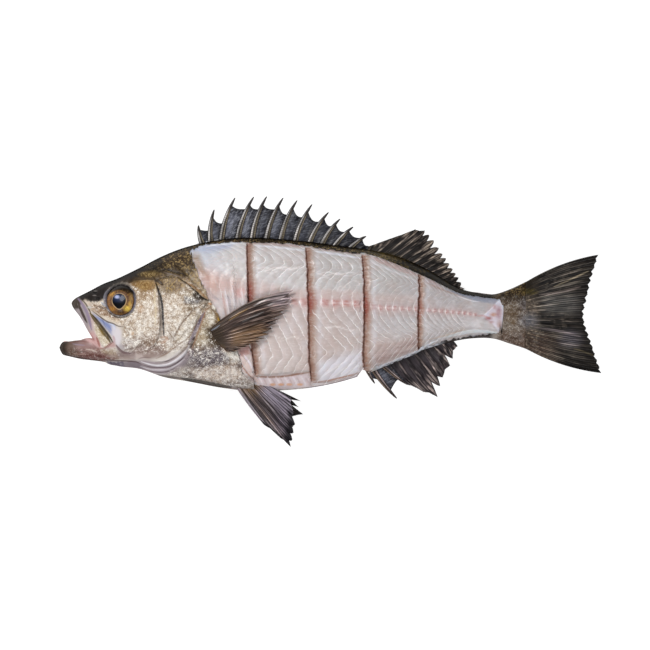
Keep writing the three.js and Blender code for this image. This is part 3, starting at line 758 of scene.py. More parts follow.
def closed_form(name, form, x, angle):
    """A closed mesh skinned over a form's sections, rounded off at its front."""
    x = np.asarray(x)[:, None]
    inward = np.clip((form.start + NOSE - x) / NOSE, 0, 0.995)
    points = form.ring(x, angle[None, :], np.sqrt(1 - inward**2))
    return new_mesh(name, points, ring_faces(*points.shape[:2]))


def whole_turn(count):
    """Angles of a full turn."""
    return np.linspace(0, 2 * np.pi, count, endpoint=False)


def along_run(path, x):
    """y of a smooth run at x."""
    run = smooth_path(path, 10)
    order = np.argsort(run[:, 0])
    return np.interp(x, run[order, 0], run[order, 1])


def window_low(x):
    """Lower edge of the skinned window at x."""
    low = np.where(x < BARE_BELLY[0], along_run(WINDOW_FRONT, x), along_run(WINDOW_FOOT, x))
    low = np.where((x >= BARE_BELLY[0]) & (x < BARE_BELLY[1]), trunk.belly(x) - 6, low)
    tail = smooth_path(WINDOW_TAIL, 8)[:3:-1]
    return np.where(x > WINDOW_FOOT[-1][0], np.interp(x, *tail.T), low)


def window_high(x):
    """Upper edge of the skinned window at x."""
    corner = WINDOW_TOP[-1]
    return np.where(x > corner[0], np.interp(x, *zip(corner, WINDOW_POINT)), along_run(WINDOW_TOP, x))


def torn(edge, x, seed):
    """An edge of the skin that wanders off its line, scalloped where scales came away."""
    wide = ripple((x, edge(x)), 4.5, seed)
    small = ripple((x, edge(x)), 1.6, seed + 1)
    return edge(x + 2.6 * wide + 0.8 * small) + 1.2 * wide + 0.7 * small


def cut_window(piece):
    """Cuts the skinned window out of the upper flank, down to the plane of the backbone."""
    x = np.arange(WINDOW_FRONT[0][0] + 0.2, WINDOW_POINT[0] - 0.3, WINDOW_SPACING)
    low = torn(window_low, x, 3)
    high = np.maximum(torn(window_high, x, 5) - 0.5, low + 0.1)
    floor = trunk.mid(x)
    sky = np.full_like(x, SKY)
    corners = [(low, floor), (high, floor), (high, sky), (low, sky)]
    window = np.stack([np.stack([x, y, z], axis=-1) for y, z in corners], axis=1)
    vent = np.array([[[*corner, z] for corner in VENT[::-1]] for z in (-5.0, SKY)])
    for name, points in (("window", window), ("vent", vent)):
        tool = new_mesh(name, points, ring_faces(*points.shape[:2]), smooth=False)
        combine(piece, tool, "DIFFERENCE")


def relax(piece, at, weight, rounds):
    """Evens out points between their neighbours, as far as each one's weight says."""
    ends = np.empty(len(piece.data.edges) * 2, int)
    piece.data.edges.foreach_get("vertices", ends)
    a, b = ends.reshape(-1, 2).T
    here, there = np.concatenate([a, b]), np.concatenate([b, a])
    valence = np.maximum(np.bincount(here, minlength=len(at)), 1)
    for _ in range(rounds):
        total = [np.bincount(here, at[there, k], len(at)) for k in range(3)]
        at = at + (np.stack(total, axis=-1) / valence[:, None] - at) * weight[:, None]
    return at


def level(form, at):
    """Below 1 within a form, and above 1 outside it."""
    x, y, z = at.T
    centre, reach = form.section(x)
    value = (np.abs(y - centre) / reach) ** POWER + (np.abs(z - form.mid(x)) / form.half(x)) ** POWER
    return value + np.maximum(form.start - x, 0) + np.maximum(x - form.end, 0)


def from_orbit(canvas):
    """Distance from the middle of the left eye."""
    return np.hypot(canvas.x - ORBIT["x"], canvas.y - ORBIT["y"])


def head_relief(canvas):
    """Raises the plates of the head and the orbit's rim, and sinks the eye's socket."""
    for rise, (fade_from, fade_to), runs in PLATES.values():
        deep = depth_inside(outline_of(runs), canvas.x, canvas.y)
        swell = rise * step(fade_from, fade_to, canvas.x) * step(-0.7, 0.7, deep)
        canvas.lift = np.maximum(canvas.lift, swell)
    off_rim = from_orbit(canvas) - ORBIT["radius"]
    canvas.lift += 1.1 * hump(off_rim - 0.8, 1.3)
    canvas.lift -= 3.5 * step(-0.8, -2.4, off_rim)


# Areas of the head: outline, colour, opacity, softness of the edge.
HEAD_AREAS = [
    # under the eye, and the cheek's lower edge
    ([[27, 1], [46, -1], [48, -9], [54, -13], [46, -14], [34, -7], [28, -4]], "#a08670", 0.85, 2.2),
    ([[38, -9], [46, -11], [56, -14], [56, -17], [48, -15], [40, -12]], "#ded2c2", 0.85, 1.2),
    ([[55, -16], [61, -16], [61, -28], [55, -27]], "#a6937f", 0.7, 3.0),
    ([[49, -27], [72, -30], [70, -37], [50, -36]], "#bfb7b4", 0.7, 3.0),
    ([[50, -32], [58, -34], [60, -38], [52, -38]], "#9b9096", 0.7, 2.0),
    ([[70, -29], [85, -28], [86, -34], [74, -36]], "#86705f", 0.7, 2.5),
    # lower edge of the gill cover, throat and gill membranes
    ([[64, -36], [90, -34], [99, -34], [92, -43], [78, -46], [62, -44]], "#8f7a73", 0.9, 2.2),
    ([[92, -33], [99, -35], [96, -40], [91, -38]], "#cdbfb2", 0.8, 1.5),
    ([[40, -40], [64, -41], [67, -47], [40, -46]], "#97827b", 0.8, 1.5),
    ([[62, -41.5], [72, -42], [74, -45], [62, -44.5]], "#c9b9b4", 0.7, 1.5),
    ([[60, -47], [74, -46.5], [90, -49], [104, -43], [112, -35], [116, -38], [108, -52], [93, -59],
      [74, -57.5], [60, -52]], "#93858a", 0.9, 1.6),
    # gold tops of the cheek and the gill cover, its pale rim and its spine
    ([[63, 18], [70, 20], [84, 20], [85, 13], [76, 11], [66, 12.5]], "#8c6b3c", 0.95, 2.4),
    ([[87, 21.5], [101, 22], [105, 17], [99, 11], [88, 10]], "#66502f", 0.9, 3.0),
    ([[100, 23], [106, 19], [114, 12], [106, 8], [100, 12]], "#8f7d6b", 0.7, 2.5),
    ([[108, 7], [116, 6], [124, 3], [118, 0], [108, 1]], "#85868c", 0.8, 1.8),
    ([[102, -32], [105, -32.5], [111, -27.5], [117, -17], [121, -9], [125, -1.5], [121, -2], [115, -7],
      [109, -14], [103, -24], [100, -29]], "#ded6cb", 0.9, 0.8),
    ([[115, 9], [118, 11], [121, 8], [126, 4], [122, 3.4], [117, 5.5]], "#3d352f", 0.9, 0.8),
    # collar, shoulder girdle, the fin's root and the breast
    ([[118, 28], [124, 24], [130, 14], [135, 4], [129, 4], [121, 13], [114, 21]], "#b5a58d", 0.9, 1.5),
    ([[128, -3.5], [131, -4], [134.5, -9], [134, -15], [130, -17.5], [126, -14]], "#cfc6b6", 0.9, 0.8),
    ([[134, -3], [141, -3], [144, -14], [138, -18], [134, -16]], "#7f6540", 0.9, 1.2),
    ([[120, -8], [130, -17], [129, -32], [118, -34]], "#cdc1ab", 0.9, 2.5),
    ([[126, -19], [150, -20], [153, -38], [140, -41], [128, -32]], "#4b3c2d", 0.9, 3.0),
    ([[139, -34], [153, -33], [153, -39], [140, -40.5]], "#9a7049", 0.8, 1.5),
    ([[141, -40], [153, -39], [155, -46], [148, -47], [142, -44]], "#ebe7df", 0.95, 1.5),
    ([[106, -50], [114, -42], [140, -36], [146, -46], [130, -53], [112, -54]], "#716970", 0.9, 4.5),
    ([[92, -59], [107, -51], [116, -46], [126, -64], [140, -68], [140, -76], [96, -64]], "#8d837f", 0.5, 3.0),
    ([[112, -55], [128, -53], [150, -50], [160, -62], [140, -65], [118, -61]], "#d8ccc4", 0.85, 3.0),
    # upper jaw: lip, dark tip and blade
    ([[9, 5], [18, 6], [23, -3], [28, -14], [31, -27], [23, -30], [16, -14], [10, -2]], "#9a8f92", 0.95, 0.8),
    ([[9, 3], [12, 6], [18, 6], [20, 3], [18, -3], [12, -4]], "#3a3127", 0.95, 1.2),
    ([[28, -9], [32, -13], [31, -20], [34, -26], [28, -27], [26, -19]], "#bfa9a6", 0.9, 1.2),
    ([[30.5, -12], [34, -14], [38, -20.5], [42, -26.5], [45, -31], [44, -35], [40, -35.5], [36, -31],
      [32.5, -24]], "#cbbda5", 0.95, 0.7),
    # folds at the corner of the mouth, and its lining
    ([[29, -6], [34, -9.4], [40, -13], [44, -14.6], [48, -16], [50.5, -19], [49, -24], [46.5, -26],
      [43, -22], [39, -17.5], [34, -12.4]], "#8f95b3", 0.95, 0.9),
    ([[46.5, -17], [52, -19.3], [54.6, -22], [54.6, -28], [52.5, -34.5], [49, -33.5], [48.5, -28],
      [46, -24.5]], "#d6cfd3", 0.9, 1.6),
    ([[21, -27], [26.5, -23], [31, -23], [35, -30], [38, -37], [30, -37.8], [22, -36], [18, -31]],
     "#c6a09d", 0.95, 1.6),
    ([[44, -32], [49, -31.5], [50, -35.5], [40, -37.5]], "#b08985", 0.85, 1.6),
    # lower jaw, darker towards its tip, and the throat under it
    ([[-2, -28], [20, -26], [25, -31], [40, -38.5], [40, -48], [-2, -46]], "#8d706c", 0.95, 1.6),
    ([[36, -37.6], [48, -37.4], [50, -42], [38, -42]], "#a4927f", 0.85, 1.6),
    ([[8, -38], [32, -38.6], [42, -41.5], [44, -45], [8, -44]], "#7a5852", 0.8, 1.6),
    ([[14, -41.5], [34, -42], [50, -45.2], [46, -47.8], [22, -46], [8, -43]], "#683f3c", 0.85, 1.3),
    ([[41, -47.6], [56, -47.8], [57, -53], [42, -53]], "#5d5466", 0.95, 0.8),
    ([[56, -47.8], [68, -48.2], [74, -54], [56, -53]], "#786c73", 0.9, 0.8),
    ([[52, -38.5], [66, -39.5], [66, -44], [52, -44]], "#7d6b69", 0.75, 2.0),
    ([[-2, -28], [17, -28], [15, -37], [19, -44], [-2, -46]], "#5c4a3d", 0.8, 3.6),
    ([[-2, -28], [9, -29], [7, -36], [9, -44], [-2, -46]], "#2c231b", 0.95, 3.0),
]
# Broad soft tints of the breast, and of the cheek and the gill cover: centre, radii, colour, opacity.
BREAST_TINTS = [([161, -67], [13, 6], "#857d80", 0.6), ([148, -42], [8, 5], "#e6e3dd", 0.7)]
CHEEK_TINTS = [
    ([73, 8], [10, 7], "#a3865d", 0.55),
    ([97, 16], [11, 7], "#7b6138", 0.55),
    ([77, 17], [10, 5], "#8a7046", 0.55),
    ([64, -19], [9, 9], "#e0d8ce", 0.55),
    ([78, -14], [8, 10], "#d9cfc3", 0.55),
    ([101, -10], [9, 11], "#ddd5cb", 0.55),
    ([80, -30], [12, 5], "#a28a76", 0.55),
    ([110, 12], [7, 6], "#cbbfac", 0.55),
]
# Strokes on the head: path, width, colour, opacity, lift.
HEAD_STROKES = [
    # upper jaw: gum, lip and the edge of the blade
    ([[20.5, -12], [23, -18], [26, -24]], 1.5, "#bfaeb6", 0.85, 0.2),
    ([[15, -5], [19, -11], [22, -17]], 0.8, "#5b5157", 0.7, -0.1),
    ([[16.6, 2.5], [19.4, -4], [22.2, -10], [24.8, -15]], 2.4, "#443831", 0.95, -0.5),
    ([[16.5, 5.4], [20, 2], [24, -4], [26.5, -10], [28, -17], [29, -21]], 2.6, "#897a8f", 0.9, 0.6),
    ([[20.5, 4.5], [24, 0.5], [27, -4.5], [29, -8.5]], 1.3, "#4b4039", 0.9, -0.3),
    ([[27.6, -7], [31, -11.5], [35, -16.5], [39, -22.5], [43, -28], [45, -31.5]], 3.2, "#5b4927", 0.95, 0.4),
    ([[34.5, -19.5], [37, -22.5], [39.5, -26]], 1.6, "#8b7233", 0.7, 0.1),
    ([[29.5, -8], [33, -12], [37.4, -17.4], [41, -22], [45, -27.6], [47.5, -32]], 1.8, "#3a2d1e", 0.95, -0.5),
    # folds at the corner of the mouth
    ([[34, -10.2], [39, -14.2], [44, -19.5]], 1.0, "#6f7db0", 0.7, 0.0),
    ([[41, -15], [44, -18], [46.5, -22]], 0.9, "#6f7db0", 0.7, 0.0),
    ([[44, -15.5], [48, -17.5], [49, -21]], 1.6, "#c9d0e4", 0.55, 0.1),
    ([[47.5, -26], [48.6, -29.5], [48, -32]], 1.8, "#bda0a6", 0.85, 0.0),
    ([[29, -4.6], [34, -8.3], [39, -12], [43, -14.4], [48, -16], [52, -18], [57, -18.6]],
     1.0, "#4c4038", 0.9, -0.5),
    ([[33, -27], [34.5, -31], [36, -35.5]], 2.0, "#9d675d", 0.85, -0.3),
    ([[47.5, -31.5], [44, -34], [39, -36.5], [33, -37.8]], 1.2, "#9c6f66", 0.8, -0.3),
    # lower jaw: gum, lip and the pale lines along it
    ([[20, -27.5], [24, -26.3], [27, -25]], 1.8, "#8d83a0", 0.7, 0.1),
    ([[9, -32.2], [14, -31.4], [20, -30.8], [26, -31.5]], 1.0, "#7b534c", 0.8, -0.3),
    ([[12, -32.9], [17, -33.6], [23, -34.2]], 1.2, "#94848f", 0.8, 0.2),
    ([[24, -37.6], [29, -38.2], [33.5, -39.8]], 1.0, "#cbb9ae", 0.8, 0.2),
    ([[9, -39.3], [16, -39.5], [24, -39.6]], 1.0, "#57443c", 0.8, -0.2),
    ([[12, -41.3], [18, -41.9], [26, -41.6]], 0.8, "#b59a90", 0.6, 0.2),
    ([[3, -42], [12, -44], [26, -46.5], [40, -48]], 1.6, "#3a2724", 0.9, 0.0),
    ([[36, -46.3], [46, -47], [56, -47.4], [66, -48], [71, -50]], 1.3, "#4c393a", 0.9, -0.5),
    # behind the jaw
    ([[50, -34], [53, -38], [57, -40.4], [63, -41]], 2.2, "#6a5354", 0.85, -0.5),
    ([[57, -38.5], [63, -37], [70, -34.8], [77, -31.5]], 1.8, "#6b574a", 0.75, -0.5),
    ([[68, -46], [73, -44.5], [80, -44.6]], 0.9, "#776262", 0.7, -0.3),
    # ring of the eye
    ([[41, -1], [44, -6], [49, -9.6], [55, -10.6], [61, -8.8], [66, -4.5]], 1.5, "#2f261e", 0.9, -0.3),
    ([[34, -1.2], [38, -2.4], [42, -4.5]], 1.3, "#54453c", 0.8, -0.3),
    ([[45, 14], [41.2, 10], [39.8, 5], [40.4, 0.5]], 2.2, "#76747c", 0.9, 0.2),
    ([[37, 2.5], [39, 0.5], [42, -1.5]], 1.8, "#a9aeba", 0.85, 0.2),
    ([[63.3, 12.5], [65.6, 9], [66.4, 4.5]], 1.6, "#b4c3d6", 0.95, 0.3),
    ([[67, 2], [65.3, -3.5], [60.5, -7.6], [55, -9.2], [48.5, -8.2]], 1.7, "#625f6c", 0.85, 0.1),
    ([[44, 14.5], [50, 17.8], [57, 18], [64, 14.8]], 1.5, "#4b463f", 0.7, 0.3),
    # hind edge of the cheek, and folds over the gill cover
    ([[84, 16], [83.4, 4], [84.4, -6], [83.5, -18]], 1.6, "#d9c9a8", 0.7, 0.3),
    ([[86.5, 11], [88, 0], [88.5, -12], [88.5, -26]], 3.4, "#7f736a", 0.75, 0.0),
    # near-black line down the groove at the cheek's hind edge: painted shade
    ([[84, 19], [86, 13], [88.5, 6], [89.8, -2], [90.4, -12], [90.9, -22], [91.2, -27]],
     1.8, "#1c1c22", 0.97, -1.0),
    ([[83, 20], [87, 19.5], [90, 16.5]], 2.6, "#33261c", 0.9, -0.3),
    ([[66, 21.2], [74, 21.6], [84, 21.4], [92, 22.8], [101, 23.2]], 1.3, "#2d241b", 0.7, -0.4),
    ([[91, 27.4], [96, 26], [102, 24.4], [107, 22.5]], 1.8, "#695a4d", 0.8, 0.3),
    ([[88, 29.4], [95, 29], [100, 27], [106, 26.2], [111, 23.6]], 1.2, "#1d1712", 0.9, -0.5),
    # upper, hind and lower edges of the gill cover
    ([[102.5, 22.8], [108, 19.4], [112, 16.8], [116, 13], [119, 10.4], [121, 7.6], [126, 4.4], [130, 3.2]],
     1.5, "#211811", 0.95, -0.8),
    ([[110, 18.8], [116, 15.2], [121, 11], [125, 7.2], [128.5, 4.8]], 2.2, "#8f6a42", 0.9, 0.3),
    ([[114, 15.4], [119, 11.6], [124, 7]], 0.8, "#c9a982", 0.6, 0.2),
    ([[98.5, -28.5], [102, -23], [106, -16], [111, -10], [115, -5], [119, -1.6], [125, 0.6]],
     1.1, "#6a5138", 0.9, -0.6),
    ([[93, -19.5], [96, -24], [99.3, -28.6]], 1.0, "#77603f", 0.8, -0.4),
    ([[89, -27.5], [92, -27.2], [93.5, -29.5], [88, -32.5]], 2.4, "#a97c5c", 0.6, 0.0),
    ([[129.5, 1.5], [124, -6.5], [119.4, -14], [115.6, -22], [110, -29], [103, -33.6], [94, -40.5],
      [84, -45.4]], 1.0, "#7c5d44", 0.85, -0.2),
    # gap behind the gill cover, with painted shade in its darker strokes
    ([[125, -6.4], [121.6, -13], [118.4, -20], [115, -27], [111.5, -33]], 3.0, "#7d707c", 0.9, -0.9),
    ([[122, -11.5], [120, -16.5]], 1.6, "#4b4157", 0.85, -0.2),
    ([[130.5, -0.6], [126.4, -5], [124.2, -11], [122, -17.5], [119.6, -23.5], [117, -30.5], [114.6, -37]],
     1.5, "#8f6646", 0.8, 0.3),
    ([[117.4, -26.5], [115, -31], [113.3, -36.5]], 2.2, "#37231f", 0.9, -0.4),
    # pale and dark folds of the gill membranes
    ([[111.5, -30.5], [106, -36.6], [99, -43.2], [92, -46.8], [84, -47.6]], 1.1, "#d3cbcb", 0.85, 0.6),
    ([[112, -33], [106.5, -39.3], [100, -44.4], [92, -47.8], [83, -48.3]], 0.9, "#5b474a", 0.8, -0.7),
    ([[112.6, -34], [108, -40.4], [102.6, -45.2], [95, -49.7], [88, -51.2], [80, -50.6], [71, -48]],
     1.6, "#e0dbe0", 0.9, 0.7),
    ([[110, -41], [104, -47.2], [96, -51.9], [88, -53], [79, -52.6], [70, -50]], 1.0, "#5d4c53", 0.8, -0.7),
    ([[108, -45.5], [102, -50], [94, -54.2], [86, -55], [78, -54.4], [70, -52]], 1.3, "#cfc7cc", 0.9, 0.5),
    ([[104, -50], [96, -55], [87, -57], [77, -56.2]], 1.0, "#685960", 0.8, -0.5),
    ([[101, -53.6], [93, -57.6], [84, -58.4], [76, -57.2]], 1.0, "#aca2a6", 0.8, 0.2),
    ([[112, -37], [107, -43], [100, -47.8], [92, -50.4], [82, -50.8]], 0.9, "#e2dde1", 0.9, 0.3),
    ([[106, -48.4], [99, -52.8], [90, -56], [80, -55.6]], 0.8, "#b5a9ae", 0.7, 0.2),
    # collar, root of the pectoral fin, and edge of the breast
    ([[127, 17.5], [131, 10.5], [134, 4.8]], 2.6, "#e4dfd3", 0.95, 0.4),
    ([[117, 26], [121, 20], [125, 13]], 1.1, "#5e4d39", 0.7, -0.3),
    ([[113, 22], [118, 17], [123, 11.5]], 1.1, "#6e5c44", 0.6, -0.3),
    ([[128, -3.4], [131.4, -3.4], [135.2, -9], [134.6, -15.4], [130, -18]], 0.9, "#72583a", 0.9, -0.4),
    ([[130, -20.6], [133, -20.9], [137, -19.4]], 2.2, "#14110e", 1.0, -0.5),
    ([[104, -62], [120, -65.5], [136, -68.3], [146, -69.6]], 4.2, "#403833", 0.9, 0.0),
    ([[84, -59.4], [92, -60.8], [104, -62]], 2.4, "#5c534d", 0.85, 0.0),
]
# Round marks on the head: centre, radius, colour, opacity, lift.
HEAD_SPOTS = [
    # root of the pectoral fin
    ([134.5, -1], [3.0, 3.2], "#efeae0", 0.95, 0.6),
    ([135.4, -3.6], 1.2, "#a8842c", 0.9, 0.0),
    ([137.6, -12], 1.6, "#b08a34", 0.9, 0.2),
    ([138, -6], 1.3, "#4f3d24", 0.8, -0.2),
    # nostrils and their pale rims
    ([31.5, 10.4], [1.8, 1.1], "#0c0a08", 0.95, -0.8),
    ([34.2, 5.4], [1.5, 1.0], "#0c0a08", 0.95, -0.8),
    ([31.7, 11.8], [1.8, 0.5], "#6f6a68", 0.8, 0.4),
    ([31.0, 8.0], [1.7, 0.5], "#77716e", 0.8, 0.4),
    # single scales and specks
    ([27.2, -2.0], [2.0, 1.0], "#c4c2be", 0.7, 0.2),
    ([71, -3.5], [3.4, 3.0], "#b08a63", 0.6, 0.0),
    ([64.3, -24], [1.6, 1.8], "#bb8f5f", 0.6, 0.0),
    ([130, 0.8], [1.8, 1.2], "#b07c4c", 0.8, 0.2),
]


# Lower edge of the dark back, along the head and the trunk.
DARK_LINE = [
    [0, -60], [9, -10], [14, 3], [20, 4.5], [30, 3.2], [38, 4.6], [42, 11], [47, 16], [55, 18],
    [64, 17.5], [74, 20], [86, 21], [98, 21.5], [108, 22], [114, 26], [122, 31], [132, 33],
    [150, 34], [205, 30], [262, 22], [320, 9], [371, 3], [403, 9],
]
dark_line = through(DARK_LINE)


def head_colours(canvas):
    """Zones, then areas, strokes and spots, of the head and collar."""
    x, y = canvas.x, canvas.y
    line = dark_line(x)
    # the pale throat, the collar, and the mottled breast
    canvas.lay(step(-8, -30, y) * 0.8, "#d0c9c4")
    canvas.lay(step(106, 114, x), "#a89a89")
    canvas.lay(step(-30, -40, y) * step(106, 116, x), "#827876")
    canvas.lay(step(-48, -58, y) * step(108, 122, x), "#9d918b")
    breast = step(-34, -40, y) * step(104, 112, x)
    canvas.lay(breast * step(-0.2, 0.4, ripple((x, y), 5.0, 84)) * 0.55, "#767075")
    canvas.lay(breast * step(0.0, 0.5, ripple((x, y), 4.0, 85)) * 0.5, "#c9bdb1")
    canvas.tints(BREAST_TINTS)
    # the dark crown and back, with a brown fringe
    canvas.lay(step(-7, 0.5, y - line) * step(58, 68, x) * 0.8, "#9a8160")
    rough = y - line + 1.6 * ripple((x, y), 2.2, 82)
    canvas.lay(step(-2.4, 2.4, rough), "#3c2f22")
    canvas.lay(step(2, 8, rough) * step(98, 80, x), "#18120e")
    canvas.lay(step(66, 46, x) * step(-1.5, 1.5, rough), "#231d1b")
    # darkest along the back's edge: the back's own dark colour, deepened as painted shade where the flank
    # turns away
    canvas.lay(step(4.5, 1.0, trunk.back(x) - y), "#15110f")
    canvas.spot([79, 26], [9, 2.6], "#63502c", 0.8)
    canvas.tints(CHEEK_TINTS)
    canvas.spot([112, 29], [6, 4], "#5f5039", 0.6)
    for outline, colour, opacity, soft in HEAD_AREAS:
        canvas.patch(outline, colour, opacity, soft)
    canvas.spot([94, 18], [9, 6], "#6b5330", 0.6, soft=0.9)
    for stroke in HEAD_STROKES:
        canvas.line(*stroke)
    for spot in HEAD_SPOTS:
        canvas.spot(*spot, soft=0.3, plain=1.0)
    # the eye's socket, grey before and behind the eye and dark over it
    away = from_orbit(canvas)
    canvas.lay(step(14.6, 13.4, away) * step(2, 12, y), "#1c1713", plain=1.0)
    canvas.lay(step(14.0, 13.0, away), "#4c4547", plain=1.0)
    canvas.lay(step(14.0, 13.0, away) * step(6, 11, np.abs(x - ORBIT["x"])), "#75717d")
    canvas.lay(step(13.6, 12.6, away) * step(4, 11, y), "#15110d")


def trunk_colours(canvas):
    """Zones of the trunk's whole skin and of the tail's wrist."""
    x, y = canvas.x, canvas.y
    over_belly = y - trunk.belly(x)
    up = over_belly / (trunk.back(x) - trunk.belly(x))
    # the dark back, with worn patches, and the pale belly
    back = step(0.74, 0.88, up)
    canvas.lay(back * step(150, 170, x), "#130f0a")
    canvas.spot([278, 42.5], [13, 4], "#453a1f", 0.5, soft=0.9)
    worn = np.interp(x, [250, 262, 290, 325], [0.0, 0.6, 0.45, 0.1])
    canvas.lay(back * step(0.1, 0.5, ripple((x, y), 1.8, 87)) * worn, "#77653a")
    canvas.lay(step(0.3, 0.1, up) * step(150, 180, x), "#c9c2bb")
    canvas.lay(step(5.0, 2.5, over_belly) * between(x, 205, 216, 254, 262), "#8d7f86")
    # the strip of skin under the fillet's rear, with white beads along its edge
    under_fillet = window_low(x) - y
    strip = between(x, 266, 272, 366, 374) * step(-3.0, -1.5, under_fillet)
    canvas.lay(strip, "#332b28", plain=1.0)
    beads = np.clip(0.8 + 0.8 * ripple((x, y), 1.4, 81), 0, 1)
    canvas.lay(strip * step(330, 318, x) * step(2.0, 1.2, under_fillet) * beads, "#dfe2ea", 0.3)
    # the wrist of the tail
    wrist = step(366, 379, x)
    canvas.lay(wrist, "#75675a")
    canvas.lay(wrist * step(-2, 9, y) * 0.95, "#251c13")
    canvas.lay(wrist * step(-18, -28, y) * 0.7, "#6a574e")
    canvas.spot([397, 0], [4.5, 4.5], "#676a76", 0.5, soft=0.9)
    canvas.spot([399, -13], [6.5, 5.5], "#787a86", 0.7, soft=0.9)
    canvas.spot([400, 11.5], [6, 2.5], "#4d4322", 0.8)
    canvas.spot([385, -10], [5, 8], "#837360", 0.6)


# Where the skin's grain is kept off the mouth, and shows on the jaw blade and as gold flecks.
MOUTH_AREA = [
    [6, 10], [22, 8], [28, -1], [38, -9], [50, -15], [57, -19], [55, -33], [62, -44], [62, -60],
    [-6, -60], [-6, 0],
]
MAXILLA = [[30, -14], [34, -14], [44, -28], [44, -35], [38, -35], [32, -24]]
GOLD_AREAS = [
    ([78, 25.6], [9, 2.2]),
    ([77, 16], [10, 5]),
    ([98, 17], [13, 7]),
    ([139, -9], [4, 7]),
    ([120, 24], [9, 9]),
]


def skin_grain(piece, canvas, side):
    """How strongly the flecks, the pale specks with painted highlights, the gold sparks and the scales show
    on each part of the skin.
    """
    x, y = canvas.x, canvas.y
    line = dark_line(x)
    marked = 1 - 0.85 * canvas.plain
    mouth = step(-1.5, 1.5, depth_inside(MOUTH_AREA, x, y))
    face = between(x, 26, 32, 116, 126) * step(-44, -36, y) * step(line + 1, line - 3, y)
    face *= (1 - mouth) * step(-45, -41, y)
    maxilla = step(-1.0, 1.0, depth_inside(MAXILLA, x, y))
    jaw = between(x, 6, 12, 48, 60) * step(-35, -38, y)
    breast = np.maximum(step(106, 118, x), step(88, 98, x) * step(-50, -57, y))
    breast *= step(line + 4, line - 4, y) * step(200, 160, x)
    dark = step(line - 2, line + 2, y) * step(58, 76, x)
    wrist = step(368, 380, x)
    sides = np.where(side > 0, 1.0, 0.6)
    band = np.interp(x, [84, 96, 125, 150, 260, 285, 300], [0.2, 1.0, 1.0, 0.8, 0.8, 0.5, 0.05])
    band *= 0.25 + 0.75 * step(-0.3, 0.4, ripple((x, y), 4.0, 83))
    gold = band * dark * step(0.6, 2.4, trunk.back(x) - y) * step(372, 350, x)
    for centre, radii in GOLD_AREAS:
        away = np.hypot((x - centre[0]) / radii[0], (y - centre[1]) / radii[1])
        gold = np.maximum(gold, 0.9 * step(1.25, 0.7, away))
    gold = np.maximum(gold, 0.5 * wrist * step(4, 12, y))
    dull = step(2.0, 4.0, y - trunk.belly(x))
    crown = step(line - 2, line + 2, y) * between(x, 14, 30, 100, 120)
    speckled = 0.95 * face + 0.9 * breast + wrist + 0.5 * maxilla + 0.7 * jaw + 0.8 * crown
    store(piece, "flecks", np.clip(speckled, 0, 1) * marked * sides)
    # pale specks, partly painted wet highlights, and where they show
    light = 0.95 * face + 0.7 * maxilla + 0.25 * jaw + 0.75 * breast * dull
    light += 0.25 * wrist * step(12, 2, y)
    light *= 1 - np.clip(1.1 * gold, 0, 1)
    store(piece, "specks_and_painted_highlights", np.clip(light, 0, 1) * marked * sides)
    store(piece, "scales", step(100, 118, x) * np.where(side > 0, 0.6 + 0.4 * wrist, 1.0) * marked)
    store(piece, "gold", gold * marked)


def skin_body():
    """The skin from jaw to tail, with the head's plates and the hollow of the mouth."""
    x = np.concatenate([
        np.arange(trunk.start, HEAD_END, HEAD_SPACING),
        np.arange(HEAD_END, trunk.end - 0.5, TRUNK_SPACING),
        [trunk.end],
    ])
    angle = np.concatenate([even_angles(UPPER_POINTS), np.pi + even_angles(LOWER_POINTS)])
    piece = closed_form("skin_body", trunk, x, angle)
    jaw, hollow = Form(LOWER_JAW), Form(MOUTH_HOLLOW)
    for form, spacing, around, operation in (
        (jaw, HEAD_SPACING, JAW_POINTS, "UNION"),
        (hollow, 1.0, MOUTH_POINTS, "DIFFERENCE"),
    ):
        x = np.arange(form.start, form.end, spacing)
        combine(piece, closed_form("tool", form, x, whole_turn(around)), operation)
    cut_window(piece)

    at = places_of(piece)
    near_trunk, near_jaw, near_hollow = (level(form, at) for form in (trunk, jaw, hollow))
    joint = step(0.4, 0.1, np.abs(near_trunk - 1)) * step(0.5, 0.2, np.abs(near_jaw - 1))
    lips = step(0.35, 0.1, np.abs(near_hollow - 1)) * step(0.7, 0.9, np.minimum(near_trunk, near_jaw))
    at = relax(piece, at, 0.6 * np.maximum(joint, lips) * step(76, 70, at[:, 0]), LIP_ROUNDS)

    x, y, z = at.T
    middle = trunk.mid(x)
    side = np.sign(z - middle)
    canvas = Canvas(x, y, "#d0c1b1")
    head_relief(canvas)
    head_colours(canvas)
    trunk_colours(canvas)
    full = step(0, BULGE_FADE, np.abs(z - middle) / np.maximum(trunk.half(x), 3))
    lining = step(1.3, 1.1, near_hollow) * step(74, 70, x)
    canvas.lift += 0.15 * ripple((x, y), 3.0, 7)
    at[:, 2] = np.maximum(z + side * canvas.lift * full * (1 - lining), 0)
    move_to(piece, at)
    piece.data.set_sharp_from_angle(angle=np.radians(CREASE))

    canvas.lay(lining, "#b98a84")
    canvas.lay(lining * step(40, 62, x), "#6d4340")
    store(piece, "paint", canvas.colour)
    canvas.plain = np.maximum(canvas.plain, lining)
    skin_grain(piece, canvas, side)
    return dress(piece, skin_material(), "body")


# ---------------------------------------------------------------- flesh

